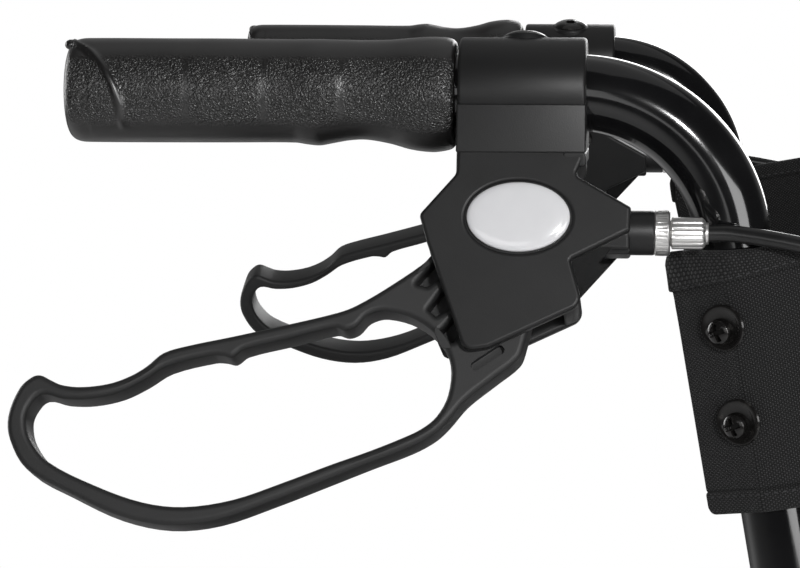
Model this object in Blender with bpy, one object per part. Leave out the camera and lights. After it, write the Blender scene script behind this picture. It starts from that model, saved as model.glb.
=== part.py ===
"""Outdoor rollator: a four-wheeled walking aid with seat, back strap, brakes and bag.

Metres, +Z up, +X the way it is pushed, +Y to the user's left. The origin lies on the floor in the middle of
the footprint. The right-hand pieces are drawn and the left-hand ones are their mirror images.
"""
import math

import bmesh
import bpy
from mathutils import Matrix, Vector

# Driving dimensions, in metres and degrees

GAP = 0.0003                  # between pieces that touch
TURN_GAP = 0.0005             # between a shaft and the bore it turns in
ROUND = 14                    # sides of a tube or shaft
SMALL_ROUND = 12              # sides of a bolt or pin
WHEEL_ROUND = 22              # sides of a tyre or rim

LENGTH = 0.640
HANDLE_HALF = 0.230           # centre plane to handle tube
LEAN = 10.0                   # the uprights lean forward from vertical
HANDLE_TUBE_R = 0.0127
HANDLE_TUBE_WALL = 0.0016
HANDLE_BEND_R = 0.053
HANDLE_INSERT = 0.129         # handle tube inside the frame tube at rest
HANDLE_FOOT_ROOM = 0.004      # under the handle tube when it is right down
HEIGHT_TRAVEL = 0.050         # up or down from rest

FRAME_TUBE_R = 0.0143
FRAME_TOP_Z = 0.700
FRAME_CORNER_Z = 0.370
FRAME_BEND_R = 0.120
FOOT_LEAN = 38.0              # the lower run to the head tube
FOOT_Z = 0.253
HEAD_TUBE_R = 0.019
HEAD_TUBE_LENGTH = 0.062
CROSS_TUBE_R = 0.011
UPPER_CROSS_DROP = 0.055      # below the frame tubes' ends
LOWER_CROSS_Z = 0.400

WHEEL_R = 0.100
TYRE_WIDTH = 0.036
TYRE_DEPTH = 0.022
RIM_WALL = 0.009
SPOKES = 5
HUB_R = 0.015
AXLE_R = 0.004
AXLE_HEAD_R = 0.008
CASTER_TRAIL = 0.042
STEM_R = 0.007
CROWN_THICKNESS = 0.018
FORK_BLADE = 0.004
TYRE_ROOM = 0.0035            # tyre to fork blade

PIVOT_HUB_REACH = 0.008       # the pivot hub stands out of the rear tube
REAR_TUBE_R = 0.0127
REAR_WHEEL_OUT = 0.047        # rear leg to its wheel's middle
RAIL_Z = 0.490
RAIL_LENGTH = 0.220           # hinge bar to the rail's corner
RAIL_BEND_R = 0.070
PIVOT_HUB_R = 0.017
HUB_PROUD = 0.001             # hubs stand this far inside the rear tubes
PIVOT_BOLT_R = 0.004
PIVOT_HEAD_R = 0.009
HINGE_BAR_BACK = 0.0294       # behind the fold pivot
HINGE_BAR_R = 0.008
REAR_CROSS_BACK = 0.190       # behind the hinge bar
REAR_CROSS_R = 0.0095
STRUT_INSET = 0.023           # stop strut inside the rear leg's plane
STRUT_R = 0.007

SEAT_LENGTH = 0.243
SEAT_FRONT_BACK = 0.010       # seat's front edge behind the hinge bar
SEAT_BOARD_INSET = 0.019      # board's side inside the rear leg's plane
SEAT_BOARD_THICKNESS = 0.008
SEAT_CLIP_HALF = 0.120        # centre plane to seat clip
SEAT_CLIP_WIDTH = 0.024
CUSHION_ROOM = 0.0127         # cushion's side to the frame tube
CUSHION_THICKNESS = 0.036
CUSHION_CROWN = 0.008

GRIP_END_X = -0.2049          # along the handle from the brake's datum
GRIP_FRONT_X = -0.0739
GRIP_R = 0.0174
GRIP_END_WALL = 0.004
HANDLE_CORNER_X = 0.0097      # where the handle's two straight runs would meet
COLLAR_REAR_X = -0.0728
COLLAR_FRONT_X = -0.0308
COLLAR_R = 0.0181
BRAKE_TILT = 18.0             # the brake's lower end stands outward
HOUSING_HALF = 0.0130         # half the housing's depth
SLOT_HALF = 0.0086
LEVER_HALF = 0.0080
LEVER_PIVOT = (-0.0462, -0.0332)
LEVER_PIN_R = 0.003
LEFT_LEVER_DROOP = 3.0        # the left lever hangs a little lower
BADGE_CENTRE = (-0.0521, -0.0459)
BADGE_SIZE = (0.0168, 0.0116)
BADGE_RECESS = 0.0008
CABLE_Y = -0.0485             # cable axis below the handle tube, in the brake's plane
CABLE_OUT = 0.003             # and outward of the brake's middle
BOSS_R = 0.0073
BOSS_END_X = -0.0078
LOCK_RING_R = 0.00745
LOCK_RING_LENGTH = 0.0046
BARREL_R = 0.00525
BARREL_LENGTH = 0.0105
BARREL_TIP_LENGTH = 0.0017
THREAD_R = 0.0030
CLAMP_SCREW_X = -0.0516
CLAMP_SCREW_R = 0.0065
CLAMP_SCREW_DOME = 0.0025

STRAP_TOP = 0.0100            # along the upright below the handle bend
STRAP_HEIGHT = 0.0850
STRAP_THICKNESS = 0.0040
STRAP_DEPTH = 0.125           # how far it bows forward of the uprights
COLLAR_ROOM = 0.0036          # strap to height collar with the handles right down
STRAP_SCREWS = (0.0300, 0.0612)
STRAP_SCREW_ANGLE = 33.0      # behind straight outward
STRAP_FLAP = 0.0165           # strap's end behind its screws
STRAP_SCREW_R = 0.0022
STRAP_WASHER_R = 0.0080

HEIGHT_COLLAR_R = 0.0205
HEIGHT_COLLAR_LENGTH = 0.050
HEIGHT_COLLAR_ABOVE = 0.010
KNOB_R = 0.018
KNOB_LENGTH = 0.016
KNOB_STUD_R = 0.004
KNOB_DROP = 0.020             # knob axis below the frame tube's end

CABLE_R = 0.0028
LOWER_CABLE_R = 0.0025
GUIDE_DROP = 0.045            # below the upper cross tube
GUIDE_R = 0.0055
GUIDE_LENGTH = 0.024
CABLE_ROOM = 0.001            # cable to the rail that it runs along

BRAKE_PIN_Z = 0.232
BRAKE_PIN_R = 0.003
BRAKE_ARM_HALF = 0.003
BRAKE_PAD_GAP = 0.003
BRAKE_PAD_ANGLE = 5.0         # behind the wheel's top
BRAKE_PAD_LENGTH = 0.034
BRAKE_PAD_WIDTH = 0.030
BRAKE_PAD_THICKNESS = 0.008
BRAKE_EAR = 0.022

BAG_HALF = 0.140
BAG_DROP = 0.070              # bag's top below the upper cross tube
BAG_BELOW = 0.035             # bag's bottom below the lower cross tube
BAG_BACK_OFFSET = 0.032
BAG_DEPTH = 0.105
BAG_LOOP_HALF = 0.085
BAG_LOOP_WIDTH = 0.024
BAG_LOOP_THICKNESS = 0.003

# Places that follow from the dimensions

MIRROR = Matrix.Diagonal((1.0, -1.0, 1.0, 1.0))
SIDE_VIEW = Matrix.Rotation(math.radians(90.0), 4, "X")
FRONT_AXLE_X = LENGTH / 2 - WHEEL_R
REAR_AXLE_X = -LENGTH / 2 + WHEEL_R
STEM_X = FRONT_AXLE_X + CASTER_TRAIL
CORNER_X = STEM_X - (FRAME_CORNER_Z - FOOT_Z) * math.tan(math.radians(FOOT_LEAN))
UPRIGHT = Vector((math.sin(math.radians(LEAN)), 0.0, -math.cos(math.radians(LEAN))))
FORWARD = Vector((math.cos(math.radians(LEAN)), 0.0, math.sin(math.radians(LEAN))))


def upright_x(z):
    """X of the uprights' axis at height z."""
    return CORNER_X - (z - FRAME_CORNER_Z) * math.tan(math.radians(LEAN))


BEND_CUT = HANDLE_BEND_R * math.tan(math.radians(90.0 - LEAN) / 2)
FRAME_TOP = STRAP_TOP + STRAP_HEIGHT + COLLAR_ROOM + HEIGHT_TRAVEL + HEIGHT_COLLAR_ABOVE
HANDLE_HEIGHT = FRAME_TOP_Z + (FRAME_TOP + BEND_CUT) * math.cos(math.radians(LEAN))
DATUM_X = upright_x(HANDLE_HEIGHT) - HANDLE_CORNER_X
BEND_END = Vector((upright_x(HANDLE_HEIGHT), 0.0, HANDLE_HEIGHT)) + UPRIGHT * BEND_CUT
PIVOT = Vector((upright_x(RAIL_Z), 0.0, RAIL_Z))
FRAME_TUBE_BORE = HANDLE_INSERT + HEIGHT_TRAVEL + HANDLE_FOOT_ROOM
FRAME_TUBE_INSIDE = HANDLE_HALF - FRAME_TUBE_R
FRAME_TUBE_OUTSIDE = HANDLE_HALF + FRAME_TUBE_R
UPPER_CROSS_Z = FRAME_TOP_Z - UPPER_CROSS_DROP
GUIDE_Z = UPPER_CROSS_Z - GUIDE_DROP
REAR_LEG_HALF = FRAME_TUBE_INSIDE - PIVOT_HUB_REACH - REAR_TUBE_R
REAR_HUB_INSIDE = REAR_LEG_HALF - REAR_TUBE_R - HUB_PROUD
REAR_WHEEL_HALF = REAR_LEG_HALF + REAR_WHEEL_OUT
STRUT_HALF = REAR_LEG_HALF - STRUT_INSET
HINGE_BAR_X = PIVOT.x - HINGE_BAR_BACK
RAIL_CORNER_X = HINGE_BAR_X - RAIL_LENGTH
REAR_CROSS_X = HINGE_BAR_X - REAR_CROSS_BACK
SEAT_BOARD_Z = RAIL_Z + REAR_CROSS_R + GAP
SEAT_FRONT_X = HINGE_BAR_X - SEAT_FRONT_BACK
SEAT_REAR_X = SEAT_FRONT_X - SEAT_LENGTH
SEAT_BOARD_HALF = REAR_LEG_HALF - SEAT_BOARD_INSET
CUSHION_Z = SEAT_BOARD_Z + SEAT_BOARD_THICKNESS + GAP
CUSHION_HALF = FRAME_TUBE_INSIDE - CUSHION_ROOM
CABLE_RUN_HALF = REAR_LEG_HALF + REAR_TUBE_R + LOWER_CABLE_R + CABLE_ROOM
BRAKE_LEG_SLOPE = (RAIL_CORNER_X - REAR_AXLE_X) / (RAIL_Z - WHEEL_R)
BRAKE_PIN = Vector((REAR_AXLE_X + (BRAKE_PIN_Z - WHEEL_R) * BRAKE_LEG_SLOPE, 0.0, BRAKE_PIN_Z))
BAG_TOP_Z = UPPER_CROSS_Z - BAG_DROP
BAG_BOTTOM_Z = LOWER_CROSS_Z - BAG_BELOW


def along_upright(distance, across=0.0, forward=0.0):
    """A point measured down the upright from the handle's bend, out to a side, and forward of it."""
    return BEND_END + UPRIGHT * distance + FORWARD * forward + Vector((0.0, across, 0.0))


# Shapes

def finish(name, colour, roughness, metallic=0.0):
    """A plain material in the piece's colour."""
    material = bpy.data.materials.new(name)
    material.use_nodes = True
    shader = material.node_tree.nodes["Principled BSDF"]
    shader.inputs["Base Color"].default_value = (*colour, 1.0)
    shader.inputs["Roughness"].default_value = roughness
    shader.inputs["Metallic"].default_value = metallic
    return material


def arc(centre, start, end, steps):
    """Points from start to end round a centre, both at the same distance from it."""
    radius = (start - centre).length
    first = (start - centre).normalized()
    last = (end - centre).normalized()
    return [centre + first.slerp(last, i / steps).normalized() * radius for i in range(steps + 1)]


def closed_mesh(bm, sharp=35.0):
    """The bmesh as a mesh with its faces pointing out, smooth except at sharp edges."""
    bmesh.ops.remove_doubles(bm, verts=bm.verts, dist=1e-6)
    bmesh.ops.recalc_face_normals(bm, faces=bm.faces)
    mesh = bpy.data.meshes.new("shape")
    bm.to_mesh(mesh)
    bm.free()
    mesh.shade_smooth()
    mesh.set_sharp_from_angle(angle=math.radians(sharp))
    return mesh


def loft(rings, ring_closed=False):
    """Faces between rings of equal count, capped at both ends unless the last ring joins the first."""
    bm = bmesh.new()
    rows = [[bm.verts.new(point) for point in ring] for ring in rings]
    pairs = list(zip(rows, rows[1:]))
    if ring_closed:
        pairs.append((rows[-1], rows[0]))
    else:
        bm.faces.new(rows[0])
        bm.faces.new(rows[-1])
    count = len(rows[0])
    for first, second in pairs:
        for i in range(count):
            j = (i + 1) % count
            bm.faces.new((first[i], first[j], second[j], second[i]))
    return closed_mesh(bm)


def turned(profile, sides=ROUND, closed=False):
    """A profile of (height, radius) points turned about Z."""
    turns = [2 * math.pi * i / sides for i in range(sides)]
    rings = [[(r * math.cos(a), r * math.sin(a), z) for a in turns] for z, r in profile]
    return loft(rings, closed)


def rod(radius, low, high, sides=ROUND):
    """A cylinder along Z."""
    return turned([(low, radius), (high, radius)], sides)


def filleted(points, radius, steps=5):
    """The path with each inner corner rounded."""
    points = [Vector(p) for p in points]
    path = [points[0]]
    for before, corner, after in zip(points, points[1:], points[2:]):
        to_before = (before - corner).normalized()
        to_after = (after - corner).normalized()
        half = to_before.angle(to_after) / 2
        centre = corner + (to_before + to_after).normalized() * (radius / math.sin(half))
        start = corner + to_before * (radius / math.tan(half))
        end = corner + to_after * (radius / math.tan(half))
        path += arc(centre, start, end, steps)
    path.append(points[-1])
    return path


def smooth(points, steps=3, closed=False):
    """Points on a curve that passes through the given ones."""
    points = [Vector(p) for p in points]
    count = len(points)
    curve = []
    for i in range(count if closed else count - 1):
        a, b, c, d = (points[k % count] if closed else points[min(max(k, 0), count - 1)]
                      for k in range(i - 1, i + 3))
        reach = (c - b).length
        leave = (c - a).normalized() * reach
        arrive = (d - b).normalized() * reach
        for s in range(steps):
            t = s / steps
            curve.append(b * (2 * t ** 3 - 3 * t ** 2 + 1) + leave * (t ** 3 - 2 * t ** 2 + t)
                         + c * (3 * t ** 2 - 2 * t ** 3) + arrive * (t ** 3 - t ** 2))
    if not closed:
        curve.append(points[-1])
    return curve


def tangents(path):
    """The direction of the path at each of its points."""
    last = len(path) - 1
    return [(path[min(i + 1, last)] - path[max(i - 1, 0)]).normalized() for i in range(last + 1)]


def sweep(path, section, across=Vector((0.0, 1.0, 0.0))):
    """A section of (across, up) points carried along a flat path."""
    rings = []
    for point, ahead in zip(path, tangents(path)):
        up = ahead.cross(across)
        rings.append([point + across * u + up * v for u, v in section])
    return loft(rings)


def circle(radius, sides=ROUND):
    """A ring of (across, up) points that starts at the top, where a rod's ring starts too."""
    return [(radius * math.sin(2 * math.pi * i / sides), radius * math.cos(2 * math.pi * i / sides))
            for i in range(sides)]


def tube(path, radius, sides=ROUND, across=Vector((0.0, 1.0, 0.0))):
    return sweep(path, circle(radius, sides), across)


def rounded(corners, turn=30.0):
    """A closed outline from (x, y, radius) corners."""
    outline = []
    count = len(corners)
    for i, (x, y, radius) in enumerate(corners):
        corner = Vector((x, y))
        to_before = (Vector(corners[i - 1][:2]) - corner).normalized()
        to_after = (Vector(corners[(i + 1) % count][:2]) - corner).normalized()
        bend = math.pi - to_before.angle(to_after)
        if radius == 0.0 or bend < 0.02:
            outline.append(corner)
            continue
        half = (math.pi - bend) / 2
        centre = corner + (to_before + to_after).normalized() * (radius / math.sin(half))
        start = corner + to_before * (radius / math.tan(half))
        end = corner + to_after * (radius / math.tan(half))
        outline += arc(centre, start, end, max(1, round(math.degrees(bend) / turn)))
    return outline


def inset(outline, distance):
    """The outline moved inward, or outward for a negative distance."""
    count = len(outline)
    area = sum(outline[i - 1].x * outline[i].y - outline[i].x * outline[i - 1].y for i in range(count))
    turn = 1.0 if area > 0 else -1.0
    moved = []
    for i, point in enumerate(outline):
        before = (point - outline[i - 1]).normalized()
        after = (outline[(i + 1) % count] - point).normalized()
        normals = Vector((-before.y, before.x)) + Vector((-after.y, after.x))
        normal = normals.normalized()
        stretch = min(1.5, 1.0 / max(0.4, normal.dot(Vector((-after.y, after.x)))))
        moved.append(point + normal * (turn * distance * stretch))
    return moved


def plate(outline, low, high, edge=0.0, holes=()):
    """A flat plate between two heights, with through holes and rounded edges."""
    levels = [(low, 0.0), (high, 0.0)]
    if edge:
        levels = [(low, edge), (low + edge, 0.0), (high - edge, 0.0), (high, edge)]
    bm = bmesh.new()
    caps = {0: [], len(levels) - 1: []}
    for loop, sign in [(outline, 1.0)] + [(hole, -1.0) for hole in holes]:
        count = len(loop)
        rows = []
        for level, (height, shift) in enumerate(levels):
            row = [bm.verts.new((p.x, p.y, height)) for p in inset(loop, sign * shift)]
            edges = [bm.edges.new((row[i - 1], row[i])) for i in range(count)]
            if level in caps:
                caps[level] += edges
            rows.append(row)
        for first, second in zip(rows, rows[1:]):
            for i in range(count):
                bm.faces.new((first[i - 1], first[i], second[i], second[i - 1]))
    for edges in caps.values():
        bmesh.ops.triangle_fill(bm, use_beauty=True, use_dissolve=False, edges=edges)
    return closed_mesh(bm)


def box(low, high, corner=0.0, edge=0.0):
    """A block between two corners, its upright corners rounded and its flat faces' edges cut off."""
    outline = [(low[0], low[1], corner), (high[0], low[1], corner), (high[0], high[1], corner),
               (low[0], high[1], corner)]
    return plate(rounded(outline), low[2], high[2], edge)


def shifted(mesh, matrix):
    """The mesh moved by a matrix, turned right side out if that mirrors it."""
    mesh = mesh.copy()
    mesh.transform(matrix)
    if matrix.determinant() < 0:
        mesh.flip_normals()
    return mesh


def boolean(base, others, operation):
    """The base mesh with the others joined to it or cut from it, one by one."""
    for other in others:
        bodies = []
        for mesh in (base, other):
            body = bpy.data.objects.new("body", mesh)
            bpy.context.scene.collection.objects.link(body)
            bodies.append(body)
        modifier = bodies[0].modifiers.new("boolean", "BOOLEAN")
        modifier.operation = operation
        modifier.object = bodies[1]
        graph = bpy.context.evaluated_depsgraph_get()
        base = bpy.data.meshes.new_from_object(bodies[0].evaluated_get(graph))
        for body in bodies:
            bpy.data.objects.remove(body)
    base.shade_smooth()
    base.set_sharp_from_angle(angle=math.radians(35.0))
    return base


def joined(base, *others):
    return boolean(base, others, "UNION")


def cut(base, *others):
    return boolean(base, others, "DIFFERENCE")


def both_sides(*meshes):
    """Each mesh and its mirror image across the centre plane."""
    return [copy for mesh in meshes for copy in (mesh, shifted(mesh, MIRROR))]


def facing(direction, place):
    """A matrix that stands a shape drawn along Z at a place, along a direction."""
    return Matrix.Translation(place) @ Vector(direction).to_track_quat("Z", "Y").to_matrix().to_4x4()


def crosswise(mesh, place):
    """A shape drawn along Z, laid along -Y with its datum at the place."""
    return shifted(mesh, Matrix.Translation(place) @ SIDE_VIEW)


# Placing

PLACES = {}


def put(thing, matrix, parent):
    """Stands a thing at its place in the world, carried by its parent."""
    thing.parent = parent
    if parent is not None:
        thing.matrix_parent_inverse = PLACES[parent.name].inverted()
    thing.matrix_basis = matrix
    PLACES[thing.name] = matrix
    return thing


def anchor(name, place, parent=None):
    """An empty on a joint's axis."""
    empty = bpy.data.objects.new(name, None)
    empty.empty_display_size = 0.03
    bpy.context.scene.collection.objects.link(empty)
    return put(empty, Matrix.Translation(place), parent)


def piece(name, mesh, material, matrix=Matrix(), parent=None):
    mesh.name = name
    mesh.materials.clear()
    mesh.materials.append(material)
    body = bpy.data.objects.new(name, mesh)
    bpy.context.scene.collection.objects.link(body)
    return put(body, matrix, parent)


def pair(name, mesh, material, matrix, parents):
    """The right-hand piece, and its mirror image on the left."""
    piece(name + "_right", mesh, material, matrix, parents[0])
    piece(name + "_left", shifted(mesh, MIRROR), material, MIRROR @ matrix @ MIRROR, parents[1])


# Places of the pieces

def upright_frame(distance):
    """Stands a shape on the right-hand upright: x forward, y to the left, z up along the tube."""
    matrix = Matrix((FORWARD, Vector((0.0, 1.0, 0.0)), -UPRIGHT)).transposed().to_4x4()
    return Matrix.Translation(along_upright(distance, -HANDLE_HALF)) @ matrix


RIGHT_HANDLE = Matrix.Translation((0.0, -HANDLE_HALF, 0.0))
BRAKE = Matrix.Translation((DATUM_X, -HANDLE_HALF, HANDLE_HEIGHT)) @ Matrix.Rotation(
    math.radians(90.0 - BRAKE_TILT), 4, "X")
COLLAR_IN_BRAKE = Matrix.Rotation(math.radians(BRAKE_TILT), 4, "X")
CABLE_IN_BRAKE = Matrix.Translation((0.0, CABLE_Y, CABLE_OUT))
ALONG_HANDLE = Matrix.Rotation(math.radians(90.0), 4, "Y")
HUB_HALF = TYRE_WIDTH / 2 + TYRE_ROOM - GAP
FORK_HALF = TYRE_WIDTH / 2 + TYRE_ROOM + FORK_BLADE
CROWN_TOP_Z = 2 * WHEEL_R + 0.006 + CROWN_THICKNESS
LOWER_CROSS_X = upright_x(LOWER_CROSS_Z)
STRAP_CENTRE = STRAP_TOP + STRAP_HEIGHT / 2
STRAP_FACE = HANDLE_TUBE_R + GAP + STRAP_THICKNESS
KNOB_SEAT = HEIGHT_COLLAR_R + 0.004
SCREW_DIRECTION = Vector((-math.sin(math.radians(STRAP_SCREW_ANGLE)),
                          -math.cos(math.radians(STRAP_SCREW_ANGLE)), 0.0))


# Handlebar pieces

def handle_path():
    """The handle tube's axis, from inside the grip's end to the lower end in the frame tube."""
    start = Vector((DATUM_X + GRIP_END_X + GRIP_END_WALL, 0.0, HANDLE_HEIGHT))
    corner = Vector((upright_x(HANDLE_HEIGHT), 0.0, HANDLE_HEIGHT))
    return filleted([start, corner, along_upright(FRAME_TOP + HANDLE_INSERT)], HANDLE_BEND_R)


def handle_tube():
    """A tube with a closed end in the grip."""
    path = handle_path()
    wall = HANDLE_TUBE_WALL
    outer = circle(HANDLE_TUBE_R)
    inner = circle(HANDLE_TUBE_R - wall)
    rings = []
    steps = list(zip(path, tangents(path)))
    for section, stations in ((outer, steps), (inner, steps[::-1])):
        for point, ahead in stations:
            if section is inner and point is path[0]:
                point = point + ahead * wall
            up = ahead.cross(Vector((0.0, 1.0, 0.0)))
            rings.append([point + Vector((0.0, u, 0.0)) + up * v for u, v in section])
    body = loft(rings)
    return cut(body, *[strap_screw_hole(place) for place in STRAP_SCREWS])


def strap_screw_hole(place):
    """The hole of one strap screw, as it lies in the right-hand handle's own frame."""
    direction = FORWARD * SCREW_DIRECTION.x + Vector((0.0, SCREW_DIRECTION.y, 0.0))
    drill = rod(STRAP_SCREW_R + GAP, HANDLE_TUBE_R / 2, STRAP_FACE + 0.004, 10)
    return shifted(drill, facing(direction, along_upright(place)))


def grip():
    """Drawn along X from the brake's datum, with its finger wave below."""
    stations = [  # place along the handle, height above and depth below the tube's axis
        (GRIP_END_X, 0.0125, 0.0105), (GRIP_END_X + 0.0015, 0.0155, 0.0138),
        (GRIP_END_X + 0.005, 0.0172, 0.0164), (GRIP_END_X + 0.011, GRIP_R, GRIP_R),
        (-0.1500, GRIP_R, GRIP_R), (-0.1275, 0.0173, 0.0173), (-0.1205, 0.0173, 0.0178),
        (-0.1140, 0.0172, 0.0167), (-0.1060, 0.0171, 0.0160), (-0.0980, 0.0172, 0.0170),
        (-0.0900, 0.0178, 0.0193), (-0.0830, 0.0182, 0.0199), (-0.0775, 0.0178, 0.0193),
        (GRIP_FRONT_X, 0.0168, 0.0180)]
    rings = []
    for x, above, below in stations:
        middle = (above - below) / 2
        rings.append([(x, u, middle + v) for u, v in circle((above + below) / 2)])
    for x in (GRIP_FRONT_X, GRIP_END_X + GRIP_END_WALL - GAP):
        rings.append([(x, u, v) for u, v in circle(HANDLE_TUBE_R + GAP)])
    return loft(rings)


def brake_housing():
    """The tube clamp and the brake's housing, in the brake's plane: x forward, y up, z outward."""
    body = plate(rounded([
        (COLLAR_REAR_X, -0.0115, 0), (COLLAR_REAR_X, -0.0314, 0.003), (-0.0844, -0.0452, 0.003),
        (-0.0819, -0.0539, 0.004), (-0.0685, -0.0900, 0.003), (-0.0613, -0.0890, 0.003),
        (-0.0309, -0.0743, 0.003), (-0.0348, -0.0598, 0.001), (-0.0159, -0.0500, 0.001),
        (-0.0156, -0.0422, 0.001), (-0.0336, -0.0318, 0.002), (COLLAR_FRONT_X, -0.0239, 0.001),
        (COLLAR_FRONT_X, -0.0115, 0)], 45.0), -HOUSING_HALF, HOUSING_HALF, 0.0014)
    collar = shifted(rod(COLLAR_R, COLLAR_REAR_X, COLLAR_FRONT_X, 16), ALONG_HANDLE)
    band = box((COLLAR_REAR_X, -0.0205, -0.0172), (COLLAR_FRONT_X, 0.0, 0.0172))
    screw_seat = shifted(rod(CLAMP_SCREW_R + 0.0008, 0.0, 0.0184), facing((0, 1, 0), (CLAMP_SCREW_X, 0, 0)))
    boss = shifted(rod(BOSS_R, -0.040, BOSS_END_X), CABLE_IN_BRAKE @ ALONG_HANDLE)
    clamp = [shifted(shape, COLLAR_IN_BRAKE) for shape in (collar, band, screw_seat)]
    bore = shifted(tube(handle_path(), HANDLE_TUBE_R + GAP), BRAKE.inverted() @ RIGHT_HANDLE)
    screw_hole = shifted(rod(0.0022, 0.0150, 0.03, 10), facing((0, 1, 0), (CLAMP_SCREW_X, 0, 0)))
    slot = plate([Vector(p) for p in (
        (-0.110, -0.0218), (-0.110, -0.115), (-0.0391, -0.115), (-0.0348, -0.0708), (-0.0348, -0.0218))],
        -SLOT_HALF, SLOT_HALF)
    pin_hole = shifted(rod(LEVER_PIN_R + GAP, -0.03, 0.0105, 12), Matrix.Translation((*LEVER_PIVOT, 0.0)))
    thread = shifted(rod(THREAD_R + GAP, -0.030, 0.0, 12), CABLE_IN_BRAKE @ ALONG_HANDLE)
    recess = plate(badge_outline(GAP), HOUSING_HALF - BADGE_RECESS, HOUSING_HALF + 0.005)
    body = joined(body, boss, *clamp)
    return cut(body, bore, shifted(screw_hole, COLLAR_IN_BRAKE), slot, pin_hole,
               thread, recess)


def badge_outline(room=0.0, share=1.0, sides=16):
    turns = [2 * math.pi * i / sides for i in range(sides)]
    return [Vector((BADGE_CENTRE[0] + (BADGE_SIZE[0] * share + room) * math.cos(a),
                    BADGE_CENTRE[1] + (BADGE_SIZE[1] * share + room) * math.sin(a))) for a in turns]


def badge():
    """A bare domed oval."""
    seat = HOUSING_HALF - BADGE_RECESS + GAP
    rings = [[(p.x, p.y, seat + rise) for p in badge_outline(0.0, share)]
             for rise, share in ((0.0, 1.0), (0.0009, 1.0), (0.0015, 0.90), (0.0020, 0.5))]
    return loft(rings)


def lever():
    """The closed loop and its root, about the lever's pivot."""
    outside = smooth([Vector((x, y)) for x, y in (
        (-0.0462, -0.0232), (-0.0562, -0.0304), (-0.0807, -0.0581), (-0.0931, -0.0675), (-0.1061, -0.0754),
        (-0.1454, -0.0855), (-0.1661, -0.0908), (-0.1739, -0.0967), (-0.1848, -0.1015), (-0.1948, -0.1027),
        (-0.2089, -0.0988), (-0.2146, -0.1039), (-0.2176, -0.1137), (-0.2157, -0.1230), (-0.2098, -0.1304),
        (-0.1967, -0.1375), (-0.1800, -0.1448), (-0.1637, -0.1478), (-0.1476, -0.1459), (-0.1123, -0.1322),
        (-0.0854, -0.1211), (-0.0752, -0.1142), (-0.0680, -0.1056), (-0.0515, -0.0922), (-0.0492, -0.0873),
        (-0.0419, -0.0640), (-0.0364, -0.0390), (-0.0386, -0.0265))], 1, True)
    opening = smooth([Vector((x, y)) for x, y in (
        (-0.2066, -0.1068), (-0.2114, -0.1132), (-0.2098, -0.1203), (-0.2037, -0.1275), (-0.1880, -0.1351),
        (-0.1721, -0.1404), (-0.1585, -0.1417), (-0.1425, -0.1391), (-0.1107, -0.1270), (-0.0889, -0.1184),
        (-0.0782, -0.1122), (-0.0731, -0.1039), (-0.0726, -0.0941), (-0.0774, -0.0845), (-0.0859, -0.0782),
        (-0.0960, -0.0771), (-0.1082, -0.0817), (-0.1490, -0.0915), (-0.1658, -0.0956), (-0.1735, -0.1005),
        (-0.1814, -0.1045), (-0.1929, -0.1070))], 1, True)
    body = plate(outside, -LEVER_HALF, LEVER_HALF, 0.0020, [opening])
    bore = shifted(rod(LEVER_PIN_R + TURN_GAP, -0.02, 0.02, 12), Matrix.Translation((*LEVER_PIVOT, 0.0)))
    return shifted(cut(body, bore), Matrix.Translation((-LEVER_PIVOT[0], -LEVER_PIVOT[1], 0.0)))


def lever_pin():
    head = -HOUSING_HALF - GAP
    return turned([(head - 0.0015, 0.0045), (head, 0.0050), (head, LEVER_PIN_R), (0.0100, LEVER_PIN_R)], 12)


def lock_ring():
    low = BOSS_END_X + GAP
    bore = THREAD_R + GAP
    ring = turned([(low, bore), (low, LOCK_RING_R), (low + LOCK_RING_LENGTH, LOCK_RING_R),
                   (low + LOCK_RING_LENGTH, bore)], 16, True)
    return shifted(ring, ALONG_HANDLE)


BARREL_X = BOSS_END_X + LOCK_RING_LENGTH + 2 * GAP
BARREL_END_X = BARREL_X + BARREL_LENGTH + BARREL_TIP_LENGTH


def barrel_adjuster():
    tip = BARREL_X + BARREL_LENGTH
    barrel = turned([(-0.0280, THREAD_R), (BARREL_X, THREAD_R), (BARREL_X, BARREL_R), (tip - 0.001, BARREL_R),
                     (tip, BARREL_R - 0.001), (BARREL_END_X, BARREL_R - 0.0014)], SMALL_ROUND)
    return shifted(barrel, ALONG_HANDLE)


def clamp_screw():
    seat = 0.0184 + GAP
    dome = seat + CLAMP_SCREW_DOME - 0.0005
    return turned([(0.0152, 0.0018), (seat, 0.0018), (seat, CLAMP_SCREW_R), (seat + 0.0010, CLAMP_SCREW_R - 0.0003),
                   (dome - 0.0004, CLAMP_SCREW_R * 0.6), (dome, CLAMP_SCREW_R * 0.2)], SMALL_ROUND)


def strap_screw():
    """The screw with its dished washer, drawn outward from the tube's axis."""
    seat = STRAP_FACE + GAP
    return turned([(HANDLE_TUBE_R - 0.004, STRAP_SCREW_R), (seat, STRAP_SCREW_R), (seat, STRAP_WASHER_R),
                   (seat + 0.0013, STRAP_WASHER_R - 0.0006), (seat + 0.0011, 0.0050), (seat + 0.0028, 0.0042),
                   (seat + 0.0038, 0.0020)], SMALL_ROUND)


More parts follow.
